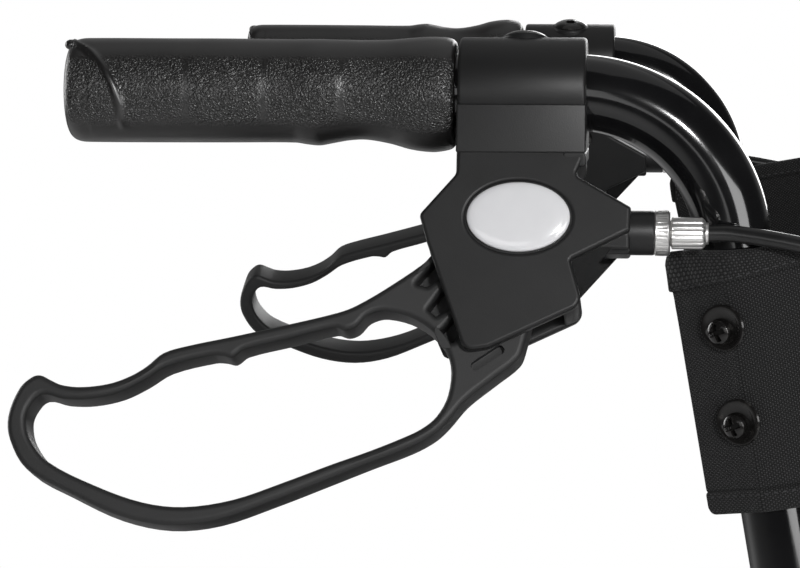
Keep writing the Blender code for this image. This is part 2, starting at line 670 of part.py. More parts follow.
def strap():
    """The back strap in the plane square to the uprights: x forward, y to the left, z up."""
    hug = HANDLE_TUBE_R + GAP + STRAP_THICKNESS / 2
    seat = SCREW_DIRECTION * hug - Vector((0.0, HANDLE_HALF, 0.0))
    flap = Vector((SCREW_DIRECTION.y, -SCREW_DIRECTION.x, 0.0)) * STRAP_FLAP
    half = [seat + flap, seat, seat - flap * 0.3]
    half += [Vector((forward, out - HANDLE_HALF, 0.0)) for forward, out in (
        (0.012, -0.0162), (0.032, -0.0160), (0.060, -0.0140), (0.090, -0.0030), (0.112, 0.0190),
        (STRAP_DEPTH - 0.003, 0.055), (STRAP_DEPTH, 0.130))]
    other = [Vector((p.x, -p.y, 0.0)) for p in reversed(half)]
    path = smooth(half + [Vector((STRAP_DEPTH, 0.0, 0.0))] + other, 2)
    high = STRAP_HEIGHT / 2
    thin = STRAP_THICKNESS / 2
    edge = thin / 2
    section = [(-high, 0.0), (-high + edge, -thin), (high - edge, -thin), (high, 0.0), (high - edge, thin),
               (-high + edge, thin)]
    body = sweep(path, section, Vector((0.0, 0.0, 1.0)))
    holes = []
    for place in STRAP_SCREWS:
        drill = rod(STRAP_SCREW_R + GAP, HANDLE_TUBE_R / 2, STRAP_FACE + 0.004, 10)
        foot = Vector((0.0, -HANDLE_HALF, STRAP_CENTRE - place))
        holes += both_sides(shifted(drill, facing(SCREW_DIRECTION, foot)))
    return cut(body, *holes)


# Frame pieces

def front_frame():
    """The welded front frame with its head tubes, cross tubes and cable guides."""
    corner = Vector((CORNER_X, 0.0, FRAME_CORNER_Z))
    foot = Vector((STEM_X, 0.0, FOOT_Z))
    side = Matrix.Translation((0.0, -HANDLE_HALF, 0.0))
    main = shifted(tube(filleted([along_upright(FRAME_TOP), corner, foot], FRAME_BEND_R), FRAME_TUBE_R), side)
    head_low = CROWN_TOP_Z + GAP
    head = shifted(rod(HEAD_TUBE_R, head_low, head_low + HEAD_TUBE_LENGTH), side @ Matrix.Translation((STEM_X, 0, 0)))
    guide = shifted(rod(GUIDE_R, -GUIDE_LENGTH / 2, GUIDE_LENGTH / 2, 10), guide_frame())
    crosses = [crosswise(rod(CROSS_TUBE_R, -HANDLE_HALF, HANDLE_HALF), (upright_x(z), 0.0, z))
               for z in (UPPER_CROSS_Z, LOWER_CROSS_Z)]
    pieces = both_sides(main, head, guide)
    body = joined(pieces[0], *pieces[2:], pieces[1], *crosses)
    bore = rod(HANDLE_TUBE_R + GAP, -FRAME_TUBE_BORE, 0.02)
    bore = shifted(bore, upright_frame(FRAME_TOP))
    stem = shifted(rod(STEM_R + TURN_GAP, head_low - 0.01, head_low + 0.050),
                   side @ Matrix.Translation((STEM_X, 0, 0)))
    bolt = crosswise(rod(PIVOT_BOLT_R + GAP, FRAME_TUBE_INSIDE - 0.01, FRAME_TUBE_OUTSIDE + 0.01), PIVOT)
    stud = crosswise(rod(KNOB_STUD_R + GAP, HANDLE_HALF, FRAME_TUBE_OUTSIDE + 0.01, 12),
                     along_upright(FRAME_TOP + KNOB_DROP))
    return cut(body, *both_sides(bore, stem, bolt, stud))


def guide_frame():
    """The cable guide on the outer rear side of the right-hand upright."""
    distance = (BEND_END.z - GUIDE_Z) / math.cos(math.radians(LEAN))
    reach = (FRAME_TUBE_R + GUIDE_R - 0.0012) / math.sqrt(2)
    return upright_frame(distance) @ Matrix.Translation((-reach, -reach, 0.0))


def height_collar():
    """The clamp collar on the frame tube's end, with the knob's boss."""
    high = HEIGHT_COLLAR_ABOVE
    low = high - HEIGHT_COLLAR_LENGTH
    slim = HANDLE_TUBE_R + TURN_GAP
    wide = FRAME_TUBE_R + GAP
    edge = 0.003
    ring = turned([(low, wide), (low, HEIGHT_COLLAR_R - edge / 2), (low + edge, HEIGHT_COLLAR_R),
                   (high - edge, HEIGHT_COLLAR_R), (high, HEIGHT_COLLAR_R - edge), (high, slim), (GAP, slim),
                   (GAP, wide)], ROUND, True)
    outward = facing((0, -1, 0), (0, 0, -KNOB_DROP))
    boss = shifted(rod(0.0095, FRAME_TUBE_R + 0.003, KNOB_SEAT), outward)
    hole = shifted(rod(KNOB_STUD_R + GAP, 0.0, KNOB_SEAT + 0.01, 12), outward)
    return cut(joined(ring, boss), hole)


def height_knob():
    """A three-lobed knob and its stud, drawn outward from the tube's axis."""
    sides = 24
    outline = []
    for i in range(sides):
        angle = 2 * math.pi * i / sides
        reach = KNOB_R * (0.84 + 0.16 * math.cos(3 * angle))
        outline.append(Vector((reach * math.cos(angle), reach * math.sin(angle))))
    low = KNOB_SEAT + GAP
    head = plate(outline, low, low + KNOB_LENGTH, 0.002)
    stud = rod(KNOB_STUD_R, HANDLE_TUBE_R + GAP, low + 0.004, 12)
    return joined(head, stud)


def pivot_bolt():
    outside = FRAME_TUBE_OUTSIDE + GAP
    inside = REAR_HUB_INSIDE - GAP
    return turned([(inside - 0.006, 0.0065), (inside, 0.0065), (inside, PIVOT_BOLT_R), (outside, PIVOT_BOLT_R),
                   (outside, PIVOT_HEAD_R), (outside + 0.0015, PIVOT_HEAD_R), (outside + 0.0040, PIVOT_HEAD_R * 0.55),
                   (outside + 0.0046, PIVOT_HEAD_R * 0.2)], 12)


def rear_frame():
    """The welded rear frame: rails, legs, wheel hubs, cross tubes and the struts that stop it open."""
    leg = [PIVOT, Vector((RAIL_CORNER_X, 0.0, RAIL_Z)), Vector((REAR_AXLE_X, 0.0, WHEEL_R))]
    side = Matrix.Translation((0.0, -REAR_LEG_HALF, 0.0))
    rail = shifted(tube(filleted(leg, RAIL_BEND_R), REAR_TUBE_R), side)
    inside = REAR_HUB_INSIDE
    pivot_hub = crosswise(rod(PIVOT_HUB_R, inside, FRAME_TUBE_INSIDE - GAP), PIVOT)
    axle_place = (REAR_AXLE_X, 0.0, WHEEL_R)
    wheel_hub = crosswise(rod(HUB_R + 0.001, inside, REAR_WHEEL_HALF - HUB_HALF - GAP), axle_place)
    crosses = [crosswise(rod(radius, -REAR_LEG_HALF, REAR_LEG_HALF), (x, 0.0, RAIL_Z))
               for x, radius in ((HINGE_BAR_X, HINGE_BAR_R), (REAR_CROSS_X, REAR_CROSS_R))]
    clear = (CROSS_TUBE_R + STRUT_R + GAP) / math.cos(math.radians(20.0))
    start = Vector((REAR_CROSS_X, -STRUT_HALF, RAIL_Z))
    top = Vector((LOWER_CROSS_X, -STRUT_HALF, LOWER_CROSS_Z + clear))
    strut = tube([start, top, top + (top - start).normalized() * 0.011], STRUT_R, 12)
    pieces = both_sides(rail, pivot_hub, wheel_hub, strut, stop_claw())
    body = joined(crosses[0], pieces[0], pieces[1], crosses[1], *pieces[2:])
    bolt = crosswise(rod(PIVOT_BOLT_R + TURN_GAP, inside - 0.01, FRAME_TUBE_INSIDE + 0.01), PIVOT)
    axle = crosswise(rod(AXLE_R + GAP, inside - 0.01, REAR_WHEEL_HALF), axle_place)
    pin = crosswise(rod(BRAKE_PIN_R + GAP, REAR_LEG_HALF, REAR_LEG_HALF + 0.02, 12), BRAKE_PIN)
    return cut(body, *both_sides(bolt, axle, pin))


def stop_claw():
    """The open claw at a strut's end, which bears on the front of the lower cross tube."""
    inner = CROSS_TUBE_R + GAP
    outer = inner + 0.0055
    turns = [math.radians(95.0 - 135.0 * i / 6) for i in range(7)]
    outline = [Vector((inner * math.cos(a), inner * math.sin(a))) for a in turns]
    outline += [Vector((outer * math.cos(a), outer * math.sin(a))) for a in reversed(turns)]
    claw = plate(outline, STRUT_HALF - 0.006, STRUT_HALF + 0.006)
    return crosswise(claw, (LOWER_CROSS_X, 0.0, LOWER_CROSS_Z))


def seat_board():
    """The board with the two clips that turn on the hinge bar, about that bar's axis."""
    low = SEAT_BOARD_Z - RAIL_Z
    high = low + SEAT_BOARD_THICKNESS
    board = box((SEAT_REAR_X - HINGE_BAR_X, -SEAT_BOARD_HALF, low),
                (SEAT_FRONT_X - HINGE_BAR_X, SEAT_BOARD_HALF, high), 0.020, 0.001)
    clips = []
    for side in (-1, 1):
        clip = rounded([(-0.016, high, 0), (-0.013, -0.0125, 0.008), (0.013, -0.0125, 0.008), (0.012, high, 0.006)])
        clips.append(shifted(plate(clip, -SEAT_CLIP_WIDTH / 2, SEAT_CLIP_WIDTH / 2),
                             Matrix.Translation((0.0, side * SEAT_CLIP_HALF, 0.0)) @ SIDE_VIEW))
    bore = crosswise(rod(HINGE_BAR_R + TURN_GAP, -0.2, 0.2), (0, 0, 0))
    return cut(joined(board, *clips), bore)


def cushion():
    """The padded seat about the hinge bar: crowned top, drawn-in sides, flat where it rests, two sewn channels."""
    front = SEAT_FRONT_X - HINGE_BAR_X
    rear = SEAT_REAR_X - HINGE_BAR_X
    low = CUSHION_Z - RAIL_Z
    middle = (front + rear) / 2
    half_depth = (front - rear) / 2
    rings = []
    around = 36
    for height, share, pull in ((0.0, 0.93, 0.0), (0.12, 0.985, 0.2), (0.5, 1.0, 1.0), (0.82, 0.985, 0.4),
                                (0.97, 0.93, 0.0), (1.06, 0.84, 0.0), (1.13, 0.68, 0.0), (1.16, 0.45, 0.0),
                                (1.18, 0.2, 0.0)):
        ring = []
        for i in range(around):
            angle = 2 * math.pi * i / around
            c, s = math.cos(angle), math.sin(angle)
            square = (abs(c) ** 5 + abs(s) ** 5) ** -0.2
            draw = 1.0 - 0.012 * pull * math.sin(2 * angle) ** 2
            x = half_depth * share * square * c * draw
            y = CUSHION_HALF * share * square * s * draw
            channel = 0.0
            if height > 0.9:
                channel = 0.004 * math.exp(-((abs(y) - CUSHION_HALF * 0.36) / 0.010) ** 2)
            crown = CUSHION_CROWN * max(0.0, height - 0.97) / 0.21
            ring.append((middle + x, y, low + CUSHION_THICKNESS * min(height, 0.97) + crown - channel))
        rings.append(ring)
    return loft(rings)


def bag():
    """The front bag, with two loops round the upper cross tube."""
    shares = ((0.0, 0.86, 0.78), (0.06, 0.95, 0.93), (0.30, 1.0, 1.05), (0.60, 1.0, 1.03), (0.88, 0.97, 0.93),
              (0.97, 0.93, 0.86), (1.0, 0.86, 0.76))
    rings = []
    around = 20
    for rise, width, depth in shares:
        z = BAG_BOTTOM_Z + (BAG_TOP_Z - BAG_BOTTOM_Z) * rise
        back = upright_x(z) + BAG_BACK_OFFSET / math.cos(math.radians(LEAN))
        ring = []
        for i in range(around):
            angle = 2 * math.pi * i / around
            c, s = math.cos(angle), math.sin(angle)
            square = (abs(c) ** 5 + abs(s) ** 5) ** -0.2
            x = back + BAG_DEPTH / 2 * (1.0 + depth * square * c)
            ring.append((x, BAG_HALF * width * square * s, z))
        rings.append(ring)
    body = loft(rings)
    x = upright_x(UPPER_CROSS_Z)
    inner = CROSS_TUBE_R + GAP
    outer = inner + BAG_LOOP_THICKNESS
    reach = (inner + outer) / 2
    half = BAG_LOOP_WIDTH / 2
    back = upright_x(BAG_TOP_Z) + BAG_BACK_OFFSET
    web = [(x + reach * 0.8, UPPER_CROSS_Z - reach * 0.6), (back + 0.004, BAG_TOP_Z + 0.014),
           (back + 0.022, BAG_TOP_Z - 0.012)]
    thin = BAG_LOOP_THICKNESS / 2
    section = [(-half, -thin), (half, -thin), (half, thin), (-half, thin)]
    loops = []
    for side in (-1, 1):
        y = side * BAG_LOOP_HALF
        ring = turned([(-half, inner), (-half, outer), (half, outer), (half, inner)], ROUND, True)
        loops.append(crosswise(ring, (x, y, UPPER_CROSS_Z)))
        loops.append(sweep([Vector((px, y, pz)) for px, pz in web], section))
    return joined(body, *loops)


# Wheels, forks and brakes

def rim():
    """The spoked rim, turned about its axle along Z."""
    outer = WHEEL_R - TYRE_DEPTH
    half = TYRE_WIDTH / 2 - 0.003
    inner = outer - RIM_WALL
    ring = turned([(-half, inner + 0.003), (-half, outer), (half, outer), (half, inner + 0.003), (0.0, inner)],
                  WHEEL_ROUND, True)
    bore = AXLE_R + TURN_GAP
    hub = turned([(-HUB_HALF, bore), (-HUB_HALF, HUB_R), (HUB_HALF, HUB_R), (HUB_HALF, bore)], SMALL_ROUND, True)
    spokes = []
    for i in range(SPOKES):
        spoke = rounded([(HUB_R - 0.004, -0.010, 0), (inner + 0.004, -0.0065, 0), (inner + 0.004, 0.0065, 0),
                         (HUB_R - 0.004, 0.010, 0)])
        turn = Matrix.Rotation(2 * math.pi * (i + 0.25) / SPOKES, 4, "Z")
        spokes.append(shifted(plate(spoke, -0.006, 0.006), turn))
    return joined(ring, *spokes, hub)


def tyre():
    seat = WHEEL_R - TYRE_DEPTH + GAP
    half = TYRE_WIDTH / 2
    return turned([(-half * 0.80, seat), (-half, seat + 0.008), (-half * 0.86, WHEEL_R - 0.0045),
                   (-half * 0.50, WHEEL_R), (half * 0.50, WHEEL_R), (half * 0.86, WHEEL_R - 0.0045),
                   (half, seat + 0.008), (half * 0.80, seat)], WHEEL_ROUND, True)


def fork():
    """The fork about its stem's axis, with z from the floor."""
    axle = FRONT_AXLE_X - STEM_X
    low = CROWN_TOP_Z - CROWN_THICKNESS
    blade = rounded([(axle - 0.013, WHEEL_R - 0.014, 0.010), (axle + 0.013, WHEEL_R - 0.014, 0.010),
                     (0.024, low, 0.012), (0.024, CROWN_TOP_Z, 0.005), (-0.030, CROWN_TOP_Z, 0.005),
                     (-0.034, low - 0.004, 0.020)])
    inner = TYRE_WIDTH / 2 + TYRE_ROOM
    blades = [shifted(plate(blade, near, near + FORK_BLADE), SIDE_VIEW) for near in (inner, -FORK_HALF)]
    crown = box((-0.027, -FORK_HALF + 0.001, low), (0.021, FORK_HALF - 0.001, CROWN_TOP_Z - GAP / 2))
    stem = rod(STEM_R, CROWN_TOP_Z - 0.004, CROWN_TOP_Z + 0.049)
    bore = crosswise(rod(AXLE_R + GAP, -0.05, 0.05), (axle, 0.0, WHEEL_R))
    return cut(joined(crown, *blades, stem), bore)


def axle(inner, outer):
    """An axle bolt with a nut inside and a domed head outside, at these places along it."""
    return turned([(inner - 0.005, 0.0065), (inner, 0.0065), (inner, AXLE_R), (outer, AXLE_R),
                   (outer, AXLE_HEAD_R), (outer + 0.0015, AXLE_HEAD_R), (outer + 0.0035, AXLE_HEAD_R * 0.5)],
                  SMALL_ROUND)


def link_outline(start, end, start_r, end_r, steps=5):
    """The outline of a bar with a round end about each of two points."""
    ahead = (end - start).normalized()
    side = Vector((-ahead.y, ahead.x))
    outline = []
    for centre, radius, forward in ((start, start_r, -ahead), (end, end_r, ahead)):
        begin = side if forward == -ahead else -side
        for i in range(steps + 1):
            angle = math.pi * i / steps
            outline.append(centre + radius * (begin * math.cos(angle) + forward * math.sin(angle)))
    return outline


PAD_OUTWARD = Vector((-math.sin(math.radians(BRAKE_PAD_ANGLE)), math.cos(math.radians(BRAKE_PAD_ANGLE))))
PAD_CENTRE = Vector((REAR_AXLE_X, WHEEL_R)) + PAD_OUTWARD * (WHEEL_R + BRAKE_PAD_GAP + BRAKE_PAD_THICKNESS / 2)
ARM_INSIDE = REAR_LEG_HALF + REAR_TUBE_R + GAP


def brake_arm():
    """The arm about its pin, with the ear that the cable pulls and the pad over the tyre."""
    pin = Vector((BRAKE_PIN.x, BRAKE_PIN.z))
    pad = PAD_CENTRE - pin
    ear = Vector((BRAKE_EAR, 0.004))
    low = ARM_INSIDE
    high = low + 2 * BRAKE_ARM_HALF
    arm = plate(link_outline(pad, Vector((0.0, 0.0)), 0.0065, 0.0090), low, high)
    horn = plate(link_outline(Vector((0.0, 0.0)), ear, 0.0080, 0.0050), low, high)
    turn = Matrix.Translation((*pad, 0.0)) @ Matrix.Rotation(math.radians(BRAKE_PAD_ANGLE), 4, "Z")
    half = BRAKE_PAD_LENGTH / 2
    thick = BRAKE_PAD_THICKNESS / 2
    block = box((-half, -thick, REAR_WHEEL_HALF - BRAKE_PAD_WIDTH / 2), (half, thick, REAR_WHEEL_HALF + BRAKE_PAD_WIDTH / 2),
                0.0, 0.001)
    bridge = box((-0.008, -thick * 0.8, low), (0.008, thick * 0.8, REAR_WHEEL_HALF))
    hole = rod(BRAKE_PIN_R + TURN_GAP, low - 0.01, high + 0.01, 12)
    return cut(joined(arm, horn, shifted(bridge, turn), shifted(block, turn)), hole)


def brake_pin():
    outside = ARM_INSIDE + 2 * BRAKE_ARM_HALF + GAP
    return turned([(REAR_LEG_HALF + 0.002, BRAKE_PIN_R), (outside, BRAKE_PIN_R), (outside, 0.0055),
                   (outside + 0.0022, 0.0050)], 12)


# Cables

def cable(name, route, radius, material, parent):
    """A cable along a smooth curve through its route, as a round tube with closed ends."""
    points = smooth(route, 2)
    curve = bpy.data.curves.new(name, "CURVE")
    curve.dimensions = "3D"
    curve.bevel_depth = radius
    curve.bevel_resolution = 2
    curve.use_fill_caps = True
    spline = curve.splines.new("POLY")
    spline.points.add(len(points) - 1)
    for spot, point in zip(spline.points, points):
        spot.co = (*point, 1.0)
    spline.use_smooth = True
    curve.materials.append(material)
    body = bpy.data.objects.new(name, curve)
    bpy.context.scene.collection.objects.link(body)
    put(body, Matrix(), parent)


def upper_route():
    """From the barrel adjuster forward past the upright, in a loop down to the guide."""
    start = BRAKE @ CABLE_IN_BRAKE @ Vector((BARREL_END_X + GAP, 0.0, 0.0))
    guide = guide_frame() @ Vector((0.0, 0.0, GUIDE_LENGTH / 2 + GAP))
    x, y, z = start
    loop = [(0.008, -0.0008, 0.0), (0.030, -0.0064, -0.0032), (0.055, -0.0106, -0.0095),
            (0.078, -0.0122, -0.0250), (0.092, -0.0116, -0.0500), (0.096, -0.0096, -0.0850),
            (0.090, -0.0076, -0.1250), (0.075, -0.0061, -0.1650), (0.055, -0.0046, -0.1950)]
    near = [guide - UPRIGHT * 0.024, guide - UPRIGHT * 0.008, guide]
    return [start] + [Vector((x + dx, y + dy, z + dz)) for dx, dy, dz in loop] + near


def lower_route():
    """From the guide back to the rail, along it and down the leg to the brake arm's ear."""
    guide = guide_frame() @ Vector((0.0, 0.0, -GUIDE_LENGTH / 2 - GAP))
    corner = Vector((RAIL_CORNER_X, 0.0, RAIL_Z))
    rail = filleted([Vector((0.060, 0.0, RAIL_Z)), corner, Vector((BRAKE_PIN.x, 0.0, BRAKE_PIN_Z))], RAIL_BEND_R, 4)
    ear = Vector((BRAKE_PIN.x + BRAKE_EAR, 0.0, BRAKE_PIN_Z + 0.004 + 0.0050 + GAP))
    along = [Vector((p.x, -CABLE_RUN_HALF, p.z)) for p in rail[:-1]]
    leg = (rail[-1] - rail[-2]).normalized()
    along.append(Vector((rail[-2].x + leg.x * 0.070, -CABLE_RUN_HALF, rail[-2].z + leg.z * 0.070)))
    down = [Vector((ear.x - 0.002, -CABLE_RUN_HALF, ear.z + 0.045)), Vector((ear.x, -CABLE_RUN_HALF, ear.z + 0.015)),
            Vector((ear.x, -CABLE_RUN_HALF, ear.z))]
    aside = -CABLE_RUN_HALF
    behind = [Vector((PIVOT.x - 0.039, aside - 0.0113, RAIL_Z + 0.042)), Vector((PIVOT.x - 0.064, aside - 0.0018, RAIL_Z + 0.013))]
    return [guide, guide + UPRIGHT * 0.008, guide + UPRIGHT * 0.022] + behind + along + down


def mirrored(route):
    return [Vector((p.x, -p.y, p.z)) for p in route]


# The whole object

def clear_scene():
    for old in list(bpy.data.objects):
        bpy.data.objects.remove(old)


def handlebar(finishes, root):
    gloss, grip_black, moulded, zinc, dark_steel, white, fabric, knob_black, cable_black = finishes
    bar = anchor("handlebar", along_upright(FRAME_TOP), root)
    pivots = []
    for side in (-1, 1):
        centre = BRAKE @ Vector((*LEVER_PIVOT, 0.0))
        pivots.append(anchor("lever_pivot_" + ("right" if side < 0 else "left"),
                             Vector((centre.x, -side * centre.y, centre.z)), bar))
    pair("handle_tube", handle_tube(), gloss, RIGHT_HANDLE, (bar, bar))
    pair("grip", grip(), grip_black, Matrix.Translation((DATUM_X, -HANDLE_HALF, HANDLE_HEIGHT)), (bar, bar))
    pair("brake_housing", brake_housing(), moulded, BRAKE, (bar, bar))
    pair("badge", badge(), white, BRAKE, (bar, bar))
    pair("lever_pin", lever_pin(), dark_steel, BRAKE @ Matrix.Translation((*LEVER_PIVOT, 0.0)), (bar, bar))
    on_axis = BRAKE @ CABLE_IN_BRAKE
    pair("cable_lock_ring", lock_ring(), zinc, on_axis, (bar, bar))
    pair("barrel_adjuster", barrel_adjuster(), zinc, on_axis, (bar, bar))
    top = Matrix.Translation((DATUM_X + CLAMP_SCREW_X, -HANDLE_HALF, HANDLE_HEIGHT))
    pair("clamp_screw", clamp_screw(), dark_steel, top, (bar, bar))
    shape = lever()
    lever_place = BRAKE @ Matrix.Translation((*LEVER_PIVOT, 0.0))
    droop = Matrix.Rotation(math.radians(LEFT_LEVER_DROOP), 4, "Z")
    piece("brake_lever_right", shape, moulded, lever_place, pivots[0])
    piece("brake_lever_left", shifted(shape, MIRROR), moulded, MIRROR @ lever_place @ droop @ MIRROR, pivots[1])
    outward = FORWARD * SCREW_DIRECTION.x + Vector((0.0, SCREW_DIRECTION.y, 0.0))
    for name, place in zip(("upper", "lower"), STRAP_SCREWS):
        pair("strap_screw_" + name, strap_screw(), dark_steel, facing(outward, along_upright(place, -HANDLE_HALF)),
             (bar, bar))
    strap_place = upright_frame(STRAP_CENTRE) @ Matrix.Translation((0.0, HANDLE_HALF, 0.0))
    piece("back_strap", strap(), fabric, strap_place, bar)
    for side, route in (("right", upper_route()), ("left", mirrored(upper_route()))):
        cable("upper_cable_" + side, route, CABLE_R, cable_black, bar)


def front(finishes, root):
    gloss, grip_black, moulded, zinc, dark_steel, white, fabric, knob_black, cable_black = finishes
    piece("front_frame", front_frame(), gloss, Matrix(), root)
    pair("height_collar", height_collar(), knob_black, upright_frame(FRAME_TOP), (root, root))
    axis = along_upright(FRAME_TOP + KNOB_DROP, -HANDLE_HALF)
    pair("height_knob", height_knob(), knob_black, Matrix.Translation(axis) @ SIDE_VIEW, (root, root))
    pair("fold_bolt", pivot_bolt(), zinc, Matrix.Translation(PIVOT) @ SIDE_VIEW, (root, root))
    piece("bag", bag(), fabric, Matrix(), root)
    stems = [anchor("fork_stem_" + name, (STEM_X, side * HANDLE_HALF, CROWN_TOP_Z), root)
             for side, name in ((-1, "right"), (1, "left"))]
    pair("fork", fork(), moulded, Matrix.Translation((STEM_X, -HANDLE_HALF, 0.0)), stems)
    wheel = Matrix.Translation((FRONT_AXLE_X, -HANDLE_HALF, WHEEL_R)) @ SIDE_VIEW
    pair("front_axle", axle(-FORK_HALF - GAP, FORK_HALF + GAP), zinc, wheel, stems)
    pair("front_rim", rim(), knob_black, wheel, stems)
    pair("front_tyre", tyre(), grip_black, wheel, stems)


def rear(finishes, root):
    gloss, grip_black, moulded, zinc, dark_steel, white, fabric, knob_black, cable_black = finishes
    fold = anchor("fold_axis", PIVOT, root)
    piece("rear_frame", rear_frame(), gloss, Matrix(), fold)
    hinge = anchor("seat_hinge", (HINGE_BAR_X, 0.0, RAIL_Z), fold)
    place = Matrix.Translation((HINGE_BAR_X, 0.0, RAIL_Z))
    piece("seat_board", seat_board(), knob_black, place, hinge)
    piece("seat_cushion", cushion(), fabric, place, hinge)
    wheel = Matrix.Translation((REAR_AXLE_X, -REAR_WHEEL_HALF, WHEEL_R)) @ SIDE_VIEW
    pair("rear_rim", rim(), knob_black, wheel, (fold, fold))
    pair("rear_tyre", tyre(), grip_black, wheel, (fold, fold))
    inner = REAR_HUB_INSIDE - GAP - REAR_WHEEL_HALF
    pair("rear_axle", axle(inner, HUB_HALF + GAP), zinc, wheel, (fold, fold))
    pin = Matrix.Translation(BRAKE_PIN) @ SIDE_VIEW
    pair("brake_arm", brake_arm(), dark_steel, pin, (fold, fold))
    pair("brake_arm_pin", brake_pin(), zinc, pin, (fold, fold))
    for side, route in (("right", lower_route()), ("left", mirrored(lower_route()))):
        cable("lower_cable_" + side, route, LOWER_CABLE_R, cable_black, fold)


def main():
    clear_scene()
    finishes = (
        finish("gloss_black_paint", (0.012, 0.012, 0.013), 0.18),
        finish("grip_black", (0.020, 0.020, 0.021), 0.60),
        finish("moulded_black", (0.022, 0.022, 0.024), 0.42),
        finish("zinc_plate", (0.72, 0.72, 0.74), 0.25, 1.0),
        finish("black_steel", (0.030, 0.028, 0.027), 0.30, 0.6),
        finish("white_badge", (0.82, 0.83, 0.85), 0.12),
        finish("black_fabric", (0.018, 0.018, 0.019), 0.85),
        finish("satin_black_plastic", (0.028, 0.028, 0.030), 0.50),
        finish("cable_black", (0.012, 0.012, 0.013), 0.45),
    )
    root = anchor("floor_centre", (0.0, 0.0, 0.0))
    front(finishes, root)
    rear(finishes, root)
    handlebar(finishes, root)


main()
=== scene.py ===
"""Looks of the outdoor rollator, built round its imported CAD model.

Metres, +X the way it is pushed, +Y to the user's left, +Z up. The right-hand pieces are drawn and the
left-hand ones are their mirror images, as in the part's source. Two differ: the left grip is turned
over, and the left lever hangs lower at rest.
"""
from math import ceil, cos, degrees, exp, hypot, pi, radians, sin, sqrt, tan

import bmesh
import bpy
from mathutils import Matrix, Vector


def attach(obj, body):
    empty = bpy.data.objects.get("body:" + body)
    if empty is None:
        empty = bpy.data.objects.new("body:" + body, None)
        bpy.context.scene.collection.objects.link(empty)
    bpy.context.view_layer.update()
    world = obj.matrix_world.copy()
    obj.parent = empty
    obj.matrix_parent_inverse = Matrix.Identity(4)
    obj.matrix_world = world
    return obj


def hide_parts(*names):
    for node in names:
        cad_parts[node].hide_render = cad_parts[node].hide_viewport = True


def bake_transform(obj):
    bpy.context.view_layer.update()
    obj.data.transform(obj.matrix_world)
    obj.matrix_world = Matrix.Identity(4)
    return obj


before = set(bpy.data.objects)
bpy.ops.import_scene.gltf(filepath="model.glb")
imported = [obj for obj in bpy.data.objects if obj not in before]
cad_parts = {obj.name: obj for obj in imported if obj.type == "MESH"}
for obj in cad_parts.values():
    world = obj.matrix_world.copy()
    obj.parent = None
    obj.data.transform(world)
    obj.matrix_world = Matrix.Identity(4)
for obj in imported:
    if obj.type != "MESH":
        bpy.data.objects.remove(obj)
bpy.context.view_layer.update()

# Sizes of the real object, as in the part's source

HANDLE_HALF = 0.230
LEAN = radians(10.0)
HANDLE_TUBE_R = 0.0127
HANDLE_BEND_R = 0.053
HANDLE_INSERT = 0.129
FRAME_TUBE_R = 0.0143
FRAME_CORNER_Z = 0.370
FRAME_BEND_R = 0.120
FRAME_TOP_Z = 0.700
FRAME_TOP = 0.1586            # frame tube's end, along the upright from the handle's bend
FOOT_Z = 0.253
HEAD_TUBE_R = 0.019
HEAD_TUBE_LENGTH = 0.062
CROSS_TUBE_R = 0.011
UPPER_CROSS_Z = 0.645
LOWER_CROSS_Z = 0.400
WHEEL_R = 0.100
TYRE_WIDTH = 0.036
TYRE_DEPTH = 0.022
RIM_WALL = 0.009
SPOKES = 5
HUB_R = 0.015
HUB_HALF = 0.0212
FORK_HALF = 0.0255
FORK_BLADE = 0.004
CROWN_TOP_Z = 0.224
FRONT_AXLE_X = 0.220
TREAD_BLOCKS = 56
REAR_AXLE_X = -0.220
STEM_X = 0.262
REAR_TUBE_R = 0.0127
REAR_LEG_HALF = 0.195
REAR_WHEEL_HALF = 0.242
REAR_HUB_INSIDE = 0.1813
PIVOT_HUB_R = 0.017
PIVOT_HUB_OUTSIDE = 0.2154
WHEEL_HUB_R = 0.016
RAIL_Z = 0.490
RAIL_CORNER_X = -0.09997
RAIL_BEND_R = 0.070
HINGE_BAR_X = 0.12003
REAR_CROSS_X = -0.06997
REAR_BARS = ((HINGE_BAR_X, 0.008), (REAR_CROSS_X, 0.0095))
STRUT_HALF = 0.172
STRUT_R = 0.007
SEAT_FRONT_X = 0.11003
SEAT_REAR_X = -0.13297
SEAT_BOARD_HALF = 0.176
SEAT_BOARD_LOW = 0.4998
SEAT_BOARD_HIGH = 0.5078
CUSHION_HALF = 0.203
CUSHION_Z = 0.5081
GRIP_END_X = -0.2049
COLLAR_REAR_X = -0.0728
COLLAR_FRONT_X = -0.0308
COLLAR_R = 0.0181
BAND_HALF = 0.0203
BRAKE_TILT = radians(18.0)
HOUSING_HALF = 0.0130
SLOT_HALF = 0.0086
LEVER_HALF = 0.0080
LEVER_PIVOT = Vector((-0.0462, -0.0332, 0.0))
LEFT_LEVER_DROOP = radians(3.0)
BADGE_CENTRE = (-0.0521, -0.0459)
BADGE_SIZE = (0.0168, 0.0116)
CABLE_Y = -0.0485
CABLE_OUT = 0.003
BOSS_R = 0.0073
BOSS_END_X = -0.0078
LOCK_RING_R = 0.00745
LOCK_RING_LENGTH = 0.0046
BARREL_R = 0.00525
BARREL_X = -0.0026
BARREL_END_X = 0.0096
CLAMP_SCREW_X = -0.0516
CLAMP_SCREW_R = 0.0075
STRAP_TOP = 0.0078
STRAP_HEIGHT = 0.0860
STRAP_THICKNESS = 0.0040
STRAP_DEPTH = 0.125
STRAP_FLAP = 0.0165
STRAP_SCREW_ANGLE = radians(33.0)
STRAP_SCREWS = {"upper": 0.0327, "lower": 0.0642}
HEIGHT_COLLAR_R = 0.0205
KNOB_R = 0.018
KNOB_LENGTH = 0.016
KNOB_DROP = 0.020
KNOB_SEAT = 0.0245
CABLE_R = 0.0028
LOWER_CABLE_R = 0.0025
